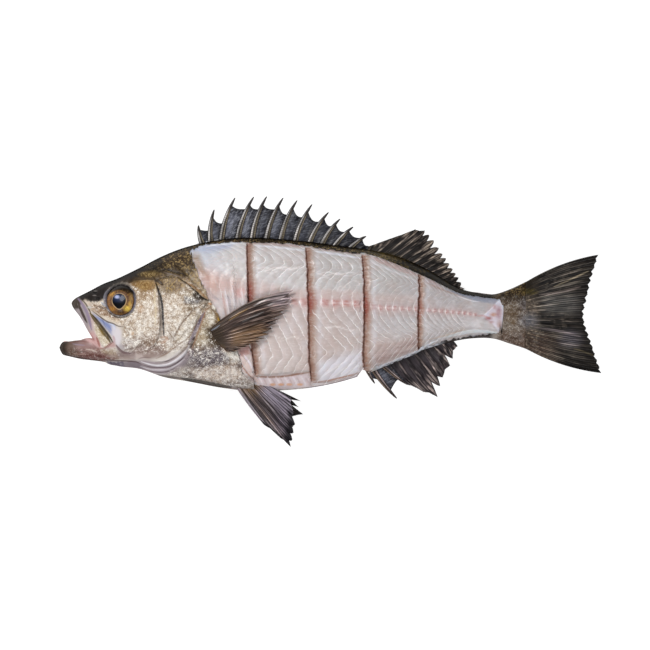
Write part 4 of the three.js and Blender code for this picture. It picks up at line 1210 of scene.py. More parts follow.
FLESH_SPACING = 0.8
UNDER_SKIN = 3.0  # the flesh runs on this far under the torn edge of the skin
FLESH_ROWS = 160
EDGE_ROUNDS = 8  # a column's ends are found in rounds, since its x changes along it
BELLY_MARGIN, VENT_MARGIN, LEAST_COLUMN = 0.8, 0.4, 0.2
WRIST_END = 379.4
WALL_SHARES = np.linspace(0.012, 0.06, 5)  # of a cut's mouth: columns down its sheer front wall
SLOPE_SHARES = np.linspace(0.06, 1.0, 16)[1:]  # and up its slope behind
SLOPE_POWER = 1.15
BLOCK_SWELL = 0.22  # how far each muscle block stands out
RIM_DROP, RIM_WIDTH = 0.5, 1.2  # the flesh rounds off at its edge
FLOOR_GAP = 0.35  # between the recess's floor and the flesh
UNDER_CUT, LEAST_FLESH = 1.0, 0.3  # flesh that is left under a cut, and anywhere

BLOCK_SECTION = 118.0  # depth of the section that the shifts below are for

# Shift along x of the edge between two muscle blocks, against its share of the way from the stripe
# (0) to the back (1) or to the belly (-1).
DORSAL_SHIFT = [
    [0.0, 0], [0.18, 0.8], [0.3, 4], [0.42, 9], [0.5, 13], [0.6, 19], [0.7, 16.5], [0.83, 6], [1.0, -10],
]
VENTRAL_SHIFT = [
    [-1.0, 2], [-0.85, 13], [-0.68, 26], [-0.6, 31.5], [-0.53, 28], [-0.3, 14], [-0.15, 4.5], [0.0, 0],
]
# The same for the two hindmost panels, where the blocks are folded more tightly.
REAR_DORSAL_SHIFT = [
    [0.0, 0], [0.15, 2], [0.3, 9], [0.42, 16], [0.52, 25], [0.62, 17], [0.8, 0], [1.0, -16],
]
REAR_VENTRAL_SHIFT = [
    [-1.0, 6], [-0.8, 19], [-0.66, 29], [-0.6, 32.5], [-0.54, 29], [-0.4, 16], [-0.2, 5], [0.0, 0],
]
FOLD_FROM = (254, 262)
BLOCK_LENGTH = [
    [110, 8.6], [180, 8.4], [240, 8.9], [257, 8.6], [264, 6.3], [303, 5.8], [310, 5.4], [380, 4.4],
]
FIRST_EDGE = 222.5  # one of the blocks' edges meets the stripe here
STRIPE = [
    [112, 22], [135, 18], [155, 12], [180, 6], [200, 2.5], [215, 2], [230, 1.5], [250, 1], [262, -1.5],
    [275, -2.5], [300, -3.5], [320, -5], [345, -7], [357, -8.5], [380, -9],
]

stripe_at = through(STRIPE)


def block_count(x):
    """Muscle blocks between x and the first edge."""
    run = np.arange(60.0, 420.0, 1.0)
    count = np.cumsum(1 / np.interp(run, *np.array(BLOCK_LENGTH, float).T))
    return np.interp(x, run, count) - np.interp(FIRST_EDGE, run, count)


def cut_front(cut, y):
    """x of a cut's front wall at y, with a ragged edge."""
    points = smooth_path(CUTS[cut][0])[::-1]
    straight = np.interp(y, points[:, 1], points[:, 0])
    return straight + 0.8 * ripple((y, 40 * cut), 2.6, 11)


def cut_rear(cut, y):
    """x of the rim behind a cut."""
    width = CUTS[cut][1] * (1 + 0.12 * ripple((y, 40 * cut), 6.0, 12))
    return cut_front(cut, y) + width


def flesh_columns():
    """Columns from shoulder to tail: edges before and behind, share between them, cut and depth."""
    def level_edge(x):
        """An edge at the same x all the way."""
        return lambda y: np.full_like(y, x)

    edges = [level_edge(WINDOW_FRONT[0][0] + 0.3)]
    for cut in range(len(CUTS)):
        edges += [lambda y, cut=cut: cut_front(cut, y), lambda y, cut=cut: cut_rear(cut, y)]
    edges.append(level_edge(WRIST_END))
    columns = []
    for number, (start, end) in enumerate(zip(edges, edges[1:])):
        if number % 2:
            cut = number // 2
            columns += [(start, end, s, cut, s / WALL_SHARES[-1]) for s in WALL_SHARES]
            columns += [(start, end, s, cut, (1 - s) ** SLOPE_POWER) for s in SLOPE_SHARES]
        else:
            width = (end(np.zeros(1)) - start(np.zeros(1)))[0]
            shares = np.linspace(0, 1, int(width / FLESH_SPACING))
            columns += [(start, end, s, None, 0.0) for s in shares[min(number, 1):]]
    return columns


def section_rows(x, low, high):
    """Rows of y from low to high, evenly spaced round the trunk's section at x."""
    centre, reach = trunk.section(x)
    share = np.clip((np.array([low, high]) - centre) / reach, -1, 1)
    first, last = np.arccos(np.sign(share) * np.abs(share) ** (POWER / 2))
    curve = boxy(np.cos(mix(first, last, np.linspace(0, 1, FLESH_ROWS))))
    return mix(low, high, (curve - curve[0]) / (curve[-1] - curve[0]))


def flesh_grid():
    """Places x and y of the flesh's upper side in columns, and how deep each lies in a cut."""
    columns = []
    for start, end, share, cut, depth in flesh_columns():
        def place(y):
            """x of this column at y."""
            return mix(start(y), end(y), share)

        low, high = np.array([-30.0]), np.array([30.0])
        for _ in range(EDGE_ROUNDS):
            x_low, x_high = place(low), place(high)
            low = np.maximum(window_low(x_low) - UNDER_SKIN, trunk.belly(x_low) + BELLY_MARGIN)
            low = np.maximum(low, np.interp(x_low, *np.array(VENT).T) + VENT_MARGIN)
            high = np.maximum(window_high(x_high) + UNDER_SKIN, low + LEAST_COLUMN)
        y = section_rows(place((low + high) / 2)[0], low[0], high[0])
        deep = np.full(FLESH_ROWS, depth)
        if cut is not None:
            top, foot = CUTS[cut][0][0][1], CUTS[cut][0][-1][1]
            deep *= step(top + 1.5, top - 2.5, y) * step(foot - 1.5, foot + 3, y)
        columns.append((place(y), y, deep))
    return [np.array(values) for values in zip(*columns)]


# Areas of the flesh: outline, colour, opacity, softness of the edge.
FLESH_AREAS = [
    # painted bluish sheen, brown edge and salmon patch at the shoulder
    ([[112, 46], [124, 51], [150, 53], [146, 48], [128, 44]], "#a9b1c9", 0.8, 3.0),
    ([[111, 42], [116, 33], [123, 20], [129, 24], [120, 42]], "#98816c", 0.9, 3.5),
    ([[124, 24], [130, 12], [150, 12], [158, 20], [140, 26]], "#b9a096", 0.6, 4.0),
    ([[150, 13], [158, 14], [158, 6], [151, 6]], "#c98f88", 0.6, 2.0),
    # panels of the belly, and the fat towards the anal fin
    ([[168, -22], [206, -30], [210, -56], [172, -58]], "#d3c6c2", 0.6, 6.0),
    ([[217, -50], [232, -46], [257, -38], [257, -58], [236, -65], [217, -67]], "#e4e1ea", 0.9, 5.0),
    ([[263, -30], [285, -30], [303, -24], [303, -38], [282, -46], [263, -55]], "#b79f99", 0.75, 4.0),
    ([[264, -44], [285, -37], [304, -29], [304, -38], [282, -46], [264, -54]], "#9d8480", 0.75, 2.5),
    ([[168, -61], [212, -58], [214, -72], [172, -72]], "#dccbce", 0.9, 1.2),
    # blue film at the tail's wrist, and the bruise by the pectoral fin
    ([[326, 14], [345, 10], [372, 6.5], [377, 4], [371, 1], [352, 3.5], [338, 9]], "#8b90a1", 0.85, 1.5),
    ([[152, -36], [163, -34], [164, -41], [155, -44]], "#a96a60", 0.75, 1.2),
]
# Strokes on the flesh: path, width, colour, opacity, lift.
FLESH_STROKES = [
    # fibres at the shoulder
    ([[128, 14], [131, 8], [137, 4]], 3.0, "#8b8792", 0.5, 0.0),
    ([[140, 10], [142, -2], [144, -12]], 1.6, "#b78e86", 0.7, -0.3),
    ([[142, 14], [144.5, 0], [146, -10]], 1.2, "#e6dde0", 0.8, 0.3),
    ([[148, 16], [150, 2], [151, -8]], 1.4, "#e6dde0", 0.8, 0.3),
    ([[156, 14], [157.5, 2], [157, -5]], 1.2, "#e6dde0", 0.7, 0.2),
    ([[145, 8], [147, -4], [148, -9]], 2.6, "#a79ba0", 0.7, -0.2),
    # painted bluish sheen at the shoulder, then fat and film along the back
    ([[126, 49.5], [140, 51.6], [156, 52.3]], 1.6, "#e3e6f0", 0.8, 0.2),
    ([[166, 52.6], [185, 51.2], [209, 49]], 2.6, "#ad9390", 0.8, 0.0),
    ([[217, 48.3], [236, 46], [256, 43]], 2.6, "#a98f8c", 0.8, 0.0),
    ([[166, 50.2], [187, 48.4], [209, 45.8]], 1.5, "#e2e2ec", 0.8, 0.2),
    ([[217, 45.4], [236, 42.8], [256, 39.4]], 1.7, "#dcdeea", 0.85, 0.3),
    ([[263, 41], [280, 34.5], [303, 25.5]], 4.5, "#b59c99", 0.8, 0.0),
    ([[264, 36.5], [280, 30], [303, 20.5]], 1.4, "#dad6dc", 0.7, 0.2),
    ([[310, 21.5], [316, 18.5], [326, 13]], 5.0, "#b3a0a1", 0.75, 0.2),
    # pale rim over the anal fin, and the films towards the tail
    ([[263, -55.4], [277, -50.6], [285, -47.4], [295, -43.2], [305, -39], [315, -33], [322, -30]],
     1.9, "#e9edf6", 0.8, 0.3),
    ([[312, 19], [322, 14.5], [335, 9.5], [348, 5], [358, 2]], 1.2, "#a08678", 0.7, -0.2),
    # a painted highlight along the film's lower edge
    ([[338, 8], [350, 4], [358, 2.5]], 1.0, "#e6e6ee", 0.8, 0.2),
    ([[322, -28], [340, -24.5], [352, -22.5], [364, -22.8], [373, -24]], 3.0, "#cdd2d5", 0.85, 0.4),
    ([[312, -30], [330, -25.5], [345, -20.5]], 1.6, "#b29a88", 0.6, 0.0),
    # edges of the belly flap, and its fold behind the breast
    # painted shadow along the step down to the belly flap
    ([[166, -60.5], [185, -61], [200, -59], [213, -57]], 1.6, "#9a6a50", 0.9, -0.2),
    ([[216, -65.8], [228, -64.2], [242, -61], [254, -57.8]], 1.5, "#a8745c", 0.9, -0.2),
    ([[155, -43], [160, -50], [166, -61], [171, -66]], 4.0, "#d9c3bd", 0.9, 0.7),
    ([[153, -40], [154.5, -48], [160, -56.5], [166, -63]], 1.2, "#9c6a56", 0.9, -0.3),
    ([[158, -42], [163, -49], [166.5, -57]], 1.6, "#e9e0e8", 0.85, 0.3),
    # wavering pale fibres on the panels
    ([[168, 30], [176, 31.4], [183, 29.6], [191, 31.8], [199, 30], [209, 32.2]], 0.9, "#f3eeee", 0.8, 0.15),
    ([[168, 31.5], [177, 29], [186, 31.6], [196, 29.4], [208, 33.4]], 0.8, "#f3eeee", 0.7, 0.1),
    ([[167, 27], [174, 28.4], [181, 26.6], [188, 28.6]], 0.7, "#efeaea", 0.6, 0.1),
    ([[218, 25], [228, 27.6], [238, 25.6], [248, 27.4], [256, 25]], 0.8, "#f0e9e9", 0.7, 0.1),
    ([[216, 28], [226, 24.6], [236, 26.8], [246, 24.2], [256, 28]], 0.8, "#f0e9e9", 0.6, 0.1),
    ([[219, 20.5], [226, 23.4], [233, 21]], 0.9, "#ece5e5", 0.6, 0.1),
    ([[238, 8], [240.5, 13], [245, 17.6], [250, 20.4]], 0.8, "#eee6e6", 0.6, 0.2),
    ([[241, 10], [244.5, 11.4], [247, 15], [245.4, 18.4]], 0.7, "#eee6e6", 0.5, 0.1),
    ([[236.5, 12], [238.6, 15.4], [241.6, 14.6]], 0.8, "#eee6e6", 0.6, 0.2),
    ([[250, 21], [254, 19], [256, 15.6]], 0.8, "#eee6e6", 0.6, 0.2),
    ([[184, -26], [192, -28.4], [200, -27], [208, -29.6]], 0.9, "#eee6e3", 0.6, 0.1),
    ([[218, -17.6], [226, -19.6], [236, -18.4], [247, -21.4], [257, -20.2]], 1.0, "#efe7e6", 0.7, 0.1),
    # sheen on the belly
    ([[224, -60.6], [236, -52.4], [246, -46]], 1.2, "#f3eff3", 0.8, 0.2),
    ([[232, -61.6], [243, -53.4], [253, -47.4]], 1.2, "#f3eff3", 0.8, 0.2),
    ([[240, -60.4], [250, -53.6], [257, -50]], 1.2, "#f3eff3", 0.8, 0.2),
    # scar at the tail's wrist
    ([[361, -9], [368, -3.5], [375, 4]], 1.2, "#e9e6ec", 0.9, 0.3),
    ([[362, -11.5], [368, -14.5], [373, -18.5], [375, -23]], 1.0, "#8f6f60", 0.7, -0.3),
]

# The pale scar at the tail's wrist, where the fillet ends, and its pink and brown tints.
TAIL_SCAR = [[360.5, -10], [370, -1], [375, 5], [378, 3], [380, -8], [375, -23], [368, -15]]
SCAR_TINTS = [
    ([371, -9], [6.0, 8.0], "#b98d92", 0.4),
    ([365.5, -11.3], [2.6, 1.4], "#8d3a31", 0.9),
    ([370, -8.2], [2.6, 1.4], "#b9805f", 0.85),
    ([374.5, -6], [2.2, 5.0], "#96595f", 0.75),
    ([375, -16.5], [2.0, 3.4], "#94604f", 0.8),
    ([371, -1.5], [1.4, 2.0], "#a86c68", 0.6),
    ([368, -14.5], [2.2, 0.9], "#9a5850", 0.6),
]


def spine_stripe(canvas):
    """The red muscle along the backbone, with a pale node wherever two muscle blocks meet."""
    x, y = canvas.x, canvas.y
    off = y - stripe_at(x)
    half = np.interp(x, [112, 160, 215, 250, 300, 330, 357], [9, 9, 7.0, 6.4, 5.4, 5.0, 4.0])
    calm = step(362, 350, x)
    halo = np.interp(x, [160, 260, 290], [0.45, 0.5, 0.28])
    halo *= 0.8 + 0.4 * ripple((x, y), 4.0, 63)
    canvas.lay(hump(off, half) * halo * calm, "#cd978f")
    core = np.interp(x, [185, 215, 250, 270, 357], [0, 0.4, 0.42, 0.2, 0.16])
    canvas.lay(hump(off, half * 0.42) * core * calm, "#bf7068")
    run = np.arange(214, 358, 5.0)
    canvas.line(np.stack([run, stripe_at(run) + 0.2], axis=-1), 0.8, "#e6d5d6", 0.75)
    edges = np.arange(np.ceil(block_count(183.0)), block_count(354.0))
    span = np.arange(100.0, 400.0)
    for edge_x in np.interp(edges, block_count(span), span):
        node = np.array([edge_x, stripe_at(edge_x)])
        reach = np.interp(edge_x, [250, 265, 305, 357], [1.0, 0.7, 0.6, 0.45])
        canvas.spot(node, [1.4 * reach, 1.6 * reach], "#f0e2e1", 0.85, soft=0.9)
        canvas.spot(node, [0.7, 3.6 * reach], "#ead9d8", 0.5, soft=0.9)
        for turn in (0.9, 2.1, 3.4, 4.6, 5.7):
            shift = np.array([3.6 + 1.9 * np.cos(turn * 3 + edge_x), 2.1 * np.sin(turn + 0.7 * edge_x)])
            canvas.spot(node + shift * reach, [1.5 * reach, 0.55], "#a64c43", 0.4, soft=0.9)


def cut_colours(canvas):
    """Brown, blood-stained walls of the cuts, darkened towards the front wall as painted shade, and a pale
    rim behind each, a painted highlight.
    """
    x, y = canvas.x, canvas.y
    for cut, (path, _) in enumerate(CUTS):
        front = cut_front(cut, y)
        into = (x - front) / (cut_rear(cut, y) - front)
        top, foot = path[0][1], path[-1][1]
        ends = step(top + 1.5, top - 1, y) * step(foot - 1.5, foot + 2, y)
        blood = hump(y - stripe_at(x), 10) * step(330, 290, x)
        inner = step(-0.12, 0.02, into) * ends
        for cover, colour in (
            # a pale rim behind the cut: painted highlight where its lip turns to the light
            (0.3 * ends * between(into, 1.0, 1.4, 1.6, 2.2), "#e4e3ea"),
            # brown walls fading to the flesh's colour behind: the cut's own colour, with painted shade
            (0.85 * inner * step(1.7, 0.5, into), "#a68a79"),
            (0.85 * inner * step(1.1, 0.3, into), "#8f6a5a"),
            (0.85 * blood * inner * step(1.5, 0.2, into), "#8e3c30"),
            # darkest next to the sheer front wall: painted shade in the slot
            (0.6 * inner * step(0.24, 0.08, into), "#96675a"),
        ):
            canvas.lay(cover, colour)


def flesh_colours(canvas):
    """Greyish cream flesh, pinker towards the belly, with its areas, strokes, stripe and cuts."""
    x, y = canvas.x, canvas.y
    off = y - stripe_at(x)
    # broad zones: bluish shoulder, greyer tail, pale back and pinker belly, then cloudy patches
    canvas.lay(step(150, 120, x) * step(0, 30, y), "#c4c6cf")
    canvas.lay(step(190, 300, x), "#b6b0b1")
    canvas.lay(step(6, 26, off) * between(x, 190, 240, 270, 320), "#bdbab9")
    canvas.lay(step(-2, -14, off) * step(290, 220, x) * 0.7, "#cab7b2")
    canvas.lay(step(-12, -36, off) * between(x, 160, 200, 240, 330) * 0.5, "#bfaca6")
    canvas.lay(between(off, 2, 8, 9, 14) * between(x, 160, 175, 300, 330) * 0.5, "#c9b2ab")
    canvas.lay(step(0.0, 0.7, ripple((x, y), 11, 61)) * 0.35, "#b3a29b")
    canvas.lay(step(0.0, 0.7, ripple((x, y), 9, 62)) * 0.3, "#dedbe0")
    for outline, colour, opacity, soft in FLESH_AREAS:
        canvas.patch(outline, colour, opacity, soft)
    spine_stripe(canvas)
    for stroke in FLESH_STROKES:
        canvas.line(*stroke)
    canvas.patch(TAIL_SCAR, "#d7d7e4", 0.95, soft=0.8, lift=0.5)
    canvas.tints(SCAR_TINTS)
    canvas.line([[356, -9.5], [360, -9], [366, -11]], 1.6, "#b77b78", 0.6)
    # slanting bands and orange spots of the belly flap, and lines over the anal fin
    for k in range(6):
        start = 170 + 7.2 * k
        canvas.line([[start, -60.5], [start + 2.5, -64.5], [start + 4, -68.5]], 1.3, "#efe4e8", 0.8, 0.3)
        canvas.line([[start + 3.4, -61], [start + 5.8, -65], [start + 7.2, -68.5]], 1.0, "#b79a98", 0.6, -0.2)
    for spot_x in (182, 189, 196, 205):
        canvas.spot([spot_x, -67.4], [2.4, 1.1], "#dfa67c", 0.9)
    for k in range(13):
        start = 266 + 2.7 * k
        foot = -46 + 0.2475 * (start - 266)
        canvas.line([[start, foot], [start + 5.5, foot + 5]], 0.8, "#d9c8c5", 0.6, 0.1)
    # rims of the belly and of the vent, and the salmon patch of the shoulder
    canvas.line([[216, -65.6], [226, -65.4], [238, -64], [248, -60.8], [254, -57]], 1.5, "#8f736b", 0.7)
    canvas.line([[252.4, -61.5], [255.4, -57.8], [258, -54.6]], 1.6, "#6f4a42", 0.85)
    canvas.spot([131, 18], [5, 13], "#c19a8a", 0.5, soft=0.9)
    cut_colours(canvas)


def flesh_left():
    """The skinned left fillet, scored by four cuts, each at most CUT_DEPTH deep."""
    x, y, deep = flesh_grid()
    canvas = Canvas(x, y, "#c8c3c2")
    flesh_colours(canvas)
    (x0, y0), (x1, y1) = BELLY_STEP["from"], BELLY_STEP["to"]
    brink = mix(y0, y1, (x - x0) / (x1 - x0))
    lowered = BELLY_STEP["drop"] * step(0.8, -0.8, y - brink) * between(x, 160, 165, 212.5, 215)

    off = y - stripe_at(x)
    scale = (trunk.back(x) - trunk.belly(x)) / BLOCK_SECTION
    up = np.clip(off / (trunk.back(x) - stripe_at(x)), 0, 1)
    down = np.clip(off / (stripe_at(x) - trunk.belly(x)), -1, 0)
    tight = step(*FOLD_FROM, x)
    dorsal = mix(through(DORSAL_SHIFT)(up), through(REAR_DORSAL_SHIFT)(up), tight)
    ventral = through(VENTRAL_SHIFT)(down) * np.interp(x, [165, 212, 217], [0.55, 0.6, 0.95])
    ventral = mix(ventral, through(REAR_VENTRAL_SHIFT)(down), tight)
    block = block_count(x - (dorsal + ventral) * scale)
    calm = between(x, 118, 135, 335, 352)

    uneven = 0.35 * ripple((x, y), 14, 21) + 0.1 * ripple((x, y), 3, 22)
    swell = BLOCK_SWELL * (1 - np.abs(np.cos(np.pi * block)) ** 6) * calm
    floor = trunk.mid(x) + FLOOR_GAP
    edge = np.minimum(y - y[:, :1], y[:, -1:] - y)
    z = trunk.flank(x, y) - SKIN - lowered + uneven + swell + canvas.lift.reshape(x.shape)
    z -= RIM_DROP * step(RIM_WIDTH, 0, edge)
    z -= deep * np.minimum(CUT_DEPTH, z - floor - UNDER_CUT)
    z = np.maximum(z, floor + LEAST_FLESH)

    drops = np.linspace(0.25, 1, 4)
    upper = np.stack([x, y, z], axis=-1)

    def skirt(k):
        """Points down the side of the flesh, from its first or last row to its floor."""
        return [np.stack([x[:, k], y[:, k], mix(z[:, k], floor[:, k], d)], axis=-1) for d in drops]

    rings = np.concatenate([upper, np.stack(skirt(-1), 1), np.stack(skirt(0)[::-1], 1)], axis=1)
    piece = new_mesh("flesh_left", rings, ring_faces(len(rings), rings.shape[1]))

    def spread(values):
        """Values of the upper side, carried on down the skirt."""
        values = values.reshape(*x.shape, -1)
        last = np.repeat(values[:, -1:], len(drops), axis=1)
        first = np.repeat(values[:, :1], len(drops), axis=1)
        return np.concatenate([values, last, first], axis=1).reshape(-1, values.shape[-1])

    store(piece, "paint", spread(canvas.colour))
    store(piece, "block", spread(block))
    strength = calm * step(0.35, 0.0, deep) * (1 - 0.8 * lowered / BELLY_STEP["drop"])
    strength *= (1 - 0.55 * between(off, 1, 4, 15, 22)) * (1 - 0.6 * step(164, 156, x))
    store(piece, "septa", spread(strength))
    return dress(piece, flesh_material(), "left_fillet")


# ---------------------------------------------------------------- eyes


IRIS_CENTRE = [53.2, 3.4]
EYE_TURNS = 72
FRONT_RINGS, BACK_RINGS = 56, 12
# Tints of the iris: place from the iris's centre, radii, colour, opacity.
IRIS_TINTS = [
    ([-7.6, 6.2], [3.0, 2.6], "#cb9640", 0.95),
    ([-9.3, 0.5], [1.2, 4.5], "#94663c", 0.8),
    ([2.0, 9.0], [4.5, 1.3], "#7f5929", 0.7),
    ([9.9, 2.2], [1.3, 5.2], "#a8895a", 0.8),
    ([6.6, -6.6], [2.6, 2.0], "#ecca5c", 1.0),
    ([8.8, -3.4], [1.5, 2.4], "#cfa551", 0.8),
    ([-6.2, -6.8], [2.5, 1.8], "#b27c33", 0.85),
    ([1.4, -9.4], [4.0, 1.7], "#3a2614", 0.85),
]


def eyeball(name, side):
    """A flattened eyeball with a pear-shaped pupil in a golden iris."""
    def on_cheek(dx, dy):
        """A place on the cheek, counted from the middle of the orbit."""
        x, y = ORBIT["x"] + dx, ORBIT["y"] + dy
        return np.array([x, y, trunk.flank(x, y, side)])

    normal = np.cross(on_cheek(5, 0) - on_cheek(-5, 0), on_cheek(0, 5) - on_cheek(0, -5))
    normal *= side / np.linalg.norm(normal)
    tilt = Vector((0, 0, 1)).rotation_difference(Vector(normal)).to_matrix()
    radii = np.concatenate([
        np.linspace(0.02, 0.99, FRONT_RINGS), [1.0], np.linspace(0.97, 0.1, BACK_RINGS),
    ])[:, None]
    facing = np.where(np.arange(len(radii)) <= FRONT_RINGS, 1, -1)[:, None]
    rise = np.sqrt(np.maximum(1 - radii**2, 0)) * facing
    angle = whole_turn(EYE_TURNS)
    flat = [radii * trig(angle) * ORBIT["radius"] for trig in (np.cos, np.sin)]
    local = np.stack([*flat, rise * ORBIT["depth"] + 0 * angle], axis=-1).reshape(-1, 3)
    points = local @ np.array(tilt).T + on_cheek(0, 0) - ORBIT["sunk"] * normal
    piece = new_mesh(name, points, ring_faces(len(radii), EYE_TURNS))

    x, y = (points[:, :2] - IRIS_CENTRE).T
    away = np.hypot(x, y)
    turn = np.arctan2(y, x)
    front = local[:, 2] > 0
    canvas = Canvas(x, y, "#4c4547")
    canvas.lay(step(7, 11, np.abs(x)), "#85818e")
    canvas.lay(step(2, 9, y), "#15110e")
    canvas.lay(step(12.8, 12.4, away), "#211914")
    canvas.lay(step(12.1, 11.7, away) * front, "#835c34")
    canvas.lay(hump(away - 7.6, 1.0) * front * 0.75, "#5b4540")
    canvas.tints(IRIS_TINTS, soft=0.8)
    # painted shade over the top of the iris, which rounds it
    canvas.lay(step(8.6, 10.0, np.hypot(x + 0.6, y + 0.4)) * step(3, 8, y) * 0.97, "#120c08")
    pear = 5.7 + 1.2 * hump(turn + np.pi / 2, 0.45)
    pupil_away = np.hypot(x + 0.2, y - 0.2)
    canvas.lay(step(pear + 1.0, pear + 0.5, pupil_away), "#c0a27a")
    canvas.lay(step(pear + 0.4, pear, pupil_away), "#04050a")
    # a bluish haze in the pupil: partly the dead lens's cloudiness, partly painted highlight
    canvas.spot([-0.8, 2.4], [4.2, 2.8], "#2a3658", 0.9, soft=0.9)
    # painted highlight: the reflection of a softbox in the pupil
    canvas.spot([-2.0, 3.3], [1.9, 1.3], "#b4bce0", 0.95, soft=0.6)
    store(piece, "paint", canvas.colour)
    store(piece, "iris", step(pear, pear + 1.5, away) * step(12.0, 11.6, away) * step(10.5, 7.5, y))
    store(piece, "spokes", np.abs(turn) * 2.4)
    return dress(piece, eye_material(), "left_eye" if side > 0 else "right_eye")


# ---------------------------------------------------------------- fins

TAIL_ROOT = trunk.end


def mid_height(x):
    """Height of the backbone's plane, carried on level behind the trunk."""
    return trunk.mid(np.minimum(x, TAIL_ROOT))


def along_path(path, share):
    """Places at shares of the length of a smooth path."""
    path = smooth_path(path, 12)
    run = run_lengths(path)
    return np.stack([np.interp(share * run[-1], run, path[:, k]) for k in (0, 1)], axis=-1)


def fan(fin, seed):
    """Places on a soft fin: columns from its roots to its torn margin, several to each ray."""
    ends = np.array(fin["ends"], float)
    rays = fin.get("rays", len(ends))
    if "rays" in fin:
        ends = along_path(ends, np.linspace(0, 1, rays))
        tears = fin["tear"] * (0.6 + 0.8 * np.abs(np.sin(seed + 2.4 * np.arange(rays))))
    else:
        ends, tears = ends[:, :2], ends[:, 2]
    u = np.linspace(0, rays - 1, (rays - 1) * fin["per_ray"] + 1)
    i = np.minimum(u.astype(int), rays - 2)
    s = u - i
    root = along_path(fin["roots"], u / (rays - 1))
    brim = mix(ends[i], ends[i + 1], s[:, None])
    notch = tears[i] * (1 - np.abs(2 * s - 1)) ** fin["lobes"]
    fray = 0.5 + 0.5 * ripple((u * 3.1, 0), 1.0, seed, 2)
    ragged = fin["ragged"] * np.maximum(fray, 0) * (s > 0.02) * (s < 0.98)
    keep = 1 - (notch + ragged) / np.hypot(*(brim - root).T)
    reach = (brim - root) * keep[:, None]
    t = np.linspace(0, 1, fin["rows"])[None, :]
    swing = (fin["bow"] * (1 - 2 * u / (rays - 1)))[:, None] * 4 * t * (1 - t)
    x = root[:, :1] + reach[:, :1] * t - reach[:, 1:] * swing
    y = root[:, 1:] + reach[:, 1:] * t + reach[:, :1] * swing
    return {"x": x, "y": y, "t": t + 0 * x, "u": u[:, None] + 0 * x, "s": s[:, None] + 0 * x}


def ray_ridges(grid, width, branches):
    """0 on the web and 1 on a ray. Rays split into branches towards the margin."""
    off = np.minimum(grid["s"], 1 - grid["s"])
    ridge = hump(off, width)
    for k in range(1, branches):
        centre = step(0.3, 0.95, grid["t"]) * k * 0.36 / (branches - 1)
        ridge = np.maximum(ridge, 0.8 * hump(off - centre, width * 0.7))
    return ridge


SOFT_DROOP = 3.5  # of the back and anal fins at their margins


def droop(grid):
    """Height of a fin that hangs a little towards its margin."""
    return mid_height(grid["x"]) - SOFT_DROOP * grid["t"] ** 2


def two_sided(x, y, z, half, canvas, across, along, ridge):
    """Points, faces, colours, across, along and ridge of a thin sheet, half as thick either side of z."""
    under = np.maximum(z - half, 0)
    top = np.maximum(z + half, under + 0.3)
    points = [np.stack([x, y, side], axis=-1).reshape(-1, 3) for side in (top, under)]
    both = [np.tile(values.ravel(), 2) for values in (across, along, ridge)]
    return np.vstack(points), sheet_faces(*z.shape), np.vstack([canvas.colour] * 2), *both


def soft_part(fin, height, marks, seed):
    """A closed sheet for joined(): a soft-rayed fin with pleated web, ridged rays and a torn margin."""
    grid = fan(fin, seed)
    x, y, t, u = (grid[key] for key in "xytu")
    ridge = ray_ridges(grid, fin["ray_width"], fin["branches"])
    half = mix(mix(*fin["web"], t), mix(*fin["ray"], t), ridge)
    if "blend" in fin:
        half = mix(trunk.half(np.minimum(x, TAIL_ROOT)) + 0.15, half, step(*fin["blend"], x))
    z = height(grid) + fin["pleat"] * t * np.cos(2 * np.pi * grid["s"])
    canvas = Canvas(x, y, fin["web_colour"])
    streak = ripple((u * fin["streaks"], t * 3.0), 1.0, seed + 40)
    canvas.lay(ridge * step(-0.5, 0.35, streak) * 0.8, fin["ray_colour"])
    canvas.lay(ridge * step(0.2, 0.75, streak) * 0.75, fin["glint_colour"])
    canvas.lay(step(-0.05, -0.5, streak) * 0.6, "#0d0a0a")
    marks(canvas, t.ravel(), u.ravel())
    return two_sided(x, y, z, half, canvas, u, t, ridge)


def joined(name, parts):
    """One mesh of closed shells, each given as points, faces, colours, across, along and ridge."""
    faces, count = [], 0
    for points, shell, *_ in parts:
        faces += [[i + count for i in face] for face in shell]
        count += len(points)
    points, _, *layers = zip(*parts)
    piece = new_mesh(name, np.vstack(points), faces)
    for key, values in zip(("paint", "across", "along", "ridge"), layers):
        store(piece, key, np.concatenate(values))
    return piece


# What a soft fin has unless its own table says otherwise: columns to a ray, shape and depth of the
# tears, rows, width of a ray, its branches, pleat of the web and number of streaks.
FIN = {
    "per_ray": 10, "lobes": 2.0, "ragged": 0.9, "rows": 44, "ray_width": 0.15, "branches": 3,
    "pleat": 0.5, "streaks": 2.6,
}
SOFT_BACK_FIN = FIN | {
    "roots": [[261.0, 43], [290, 34], [316, 23], [337, 11]],
    "ends": [
        [262.8, 50.2, 0], [281.5, 56.6, 0.6], [303.5, 64.8, 1.0], [311.6, 63.8, 4.6], [315.2, 60.0, 5.0],
        [319.4, 55.2, 5.6], [323.4, 49.0, 5.4], [326.6, 43.8, 3.2], [329.6, 40.0, 3.6], [332.6, 35.4, 3.2],
        [335.4, 31.0, 3.2], [338.0, 27.2, 2.8], [340.6, 23.6, 3.2], [342.6, 19.4, 2.4], [346.4, 13.8, 0],
    ],
    "bow": -0.02, "ray": [1.3, 0.7], "web": [0.6, 0.3], "per_ray": 12,
    "web_colour": "#24201f", "ray_colour": "#84776e", "glint_colour": "#b3a594",
}
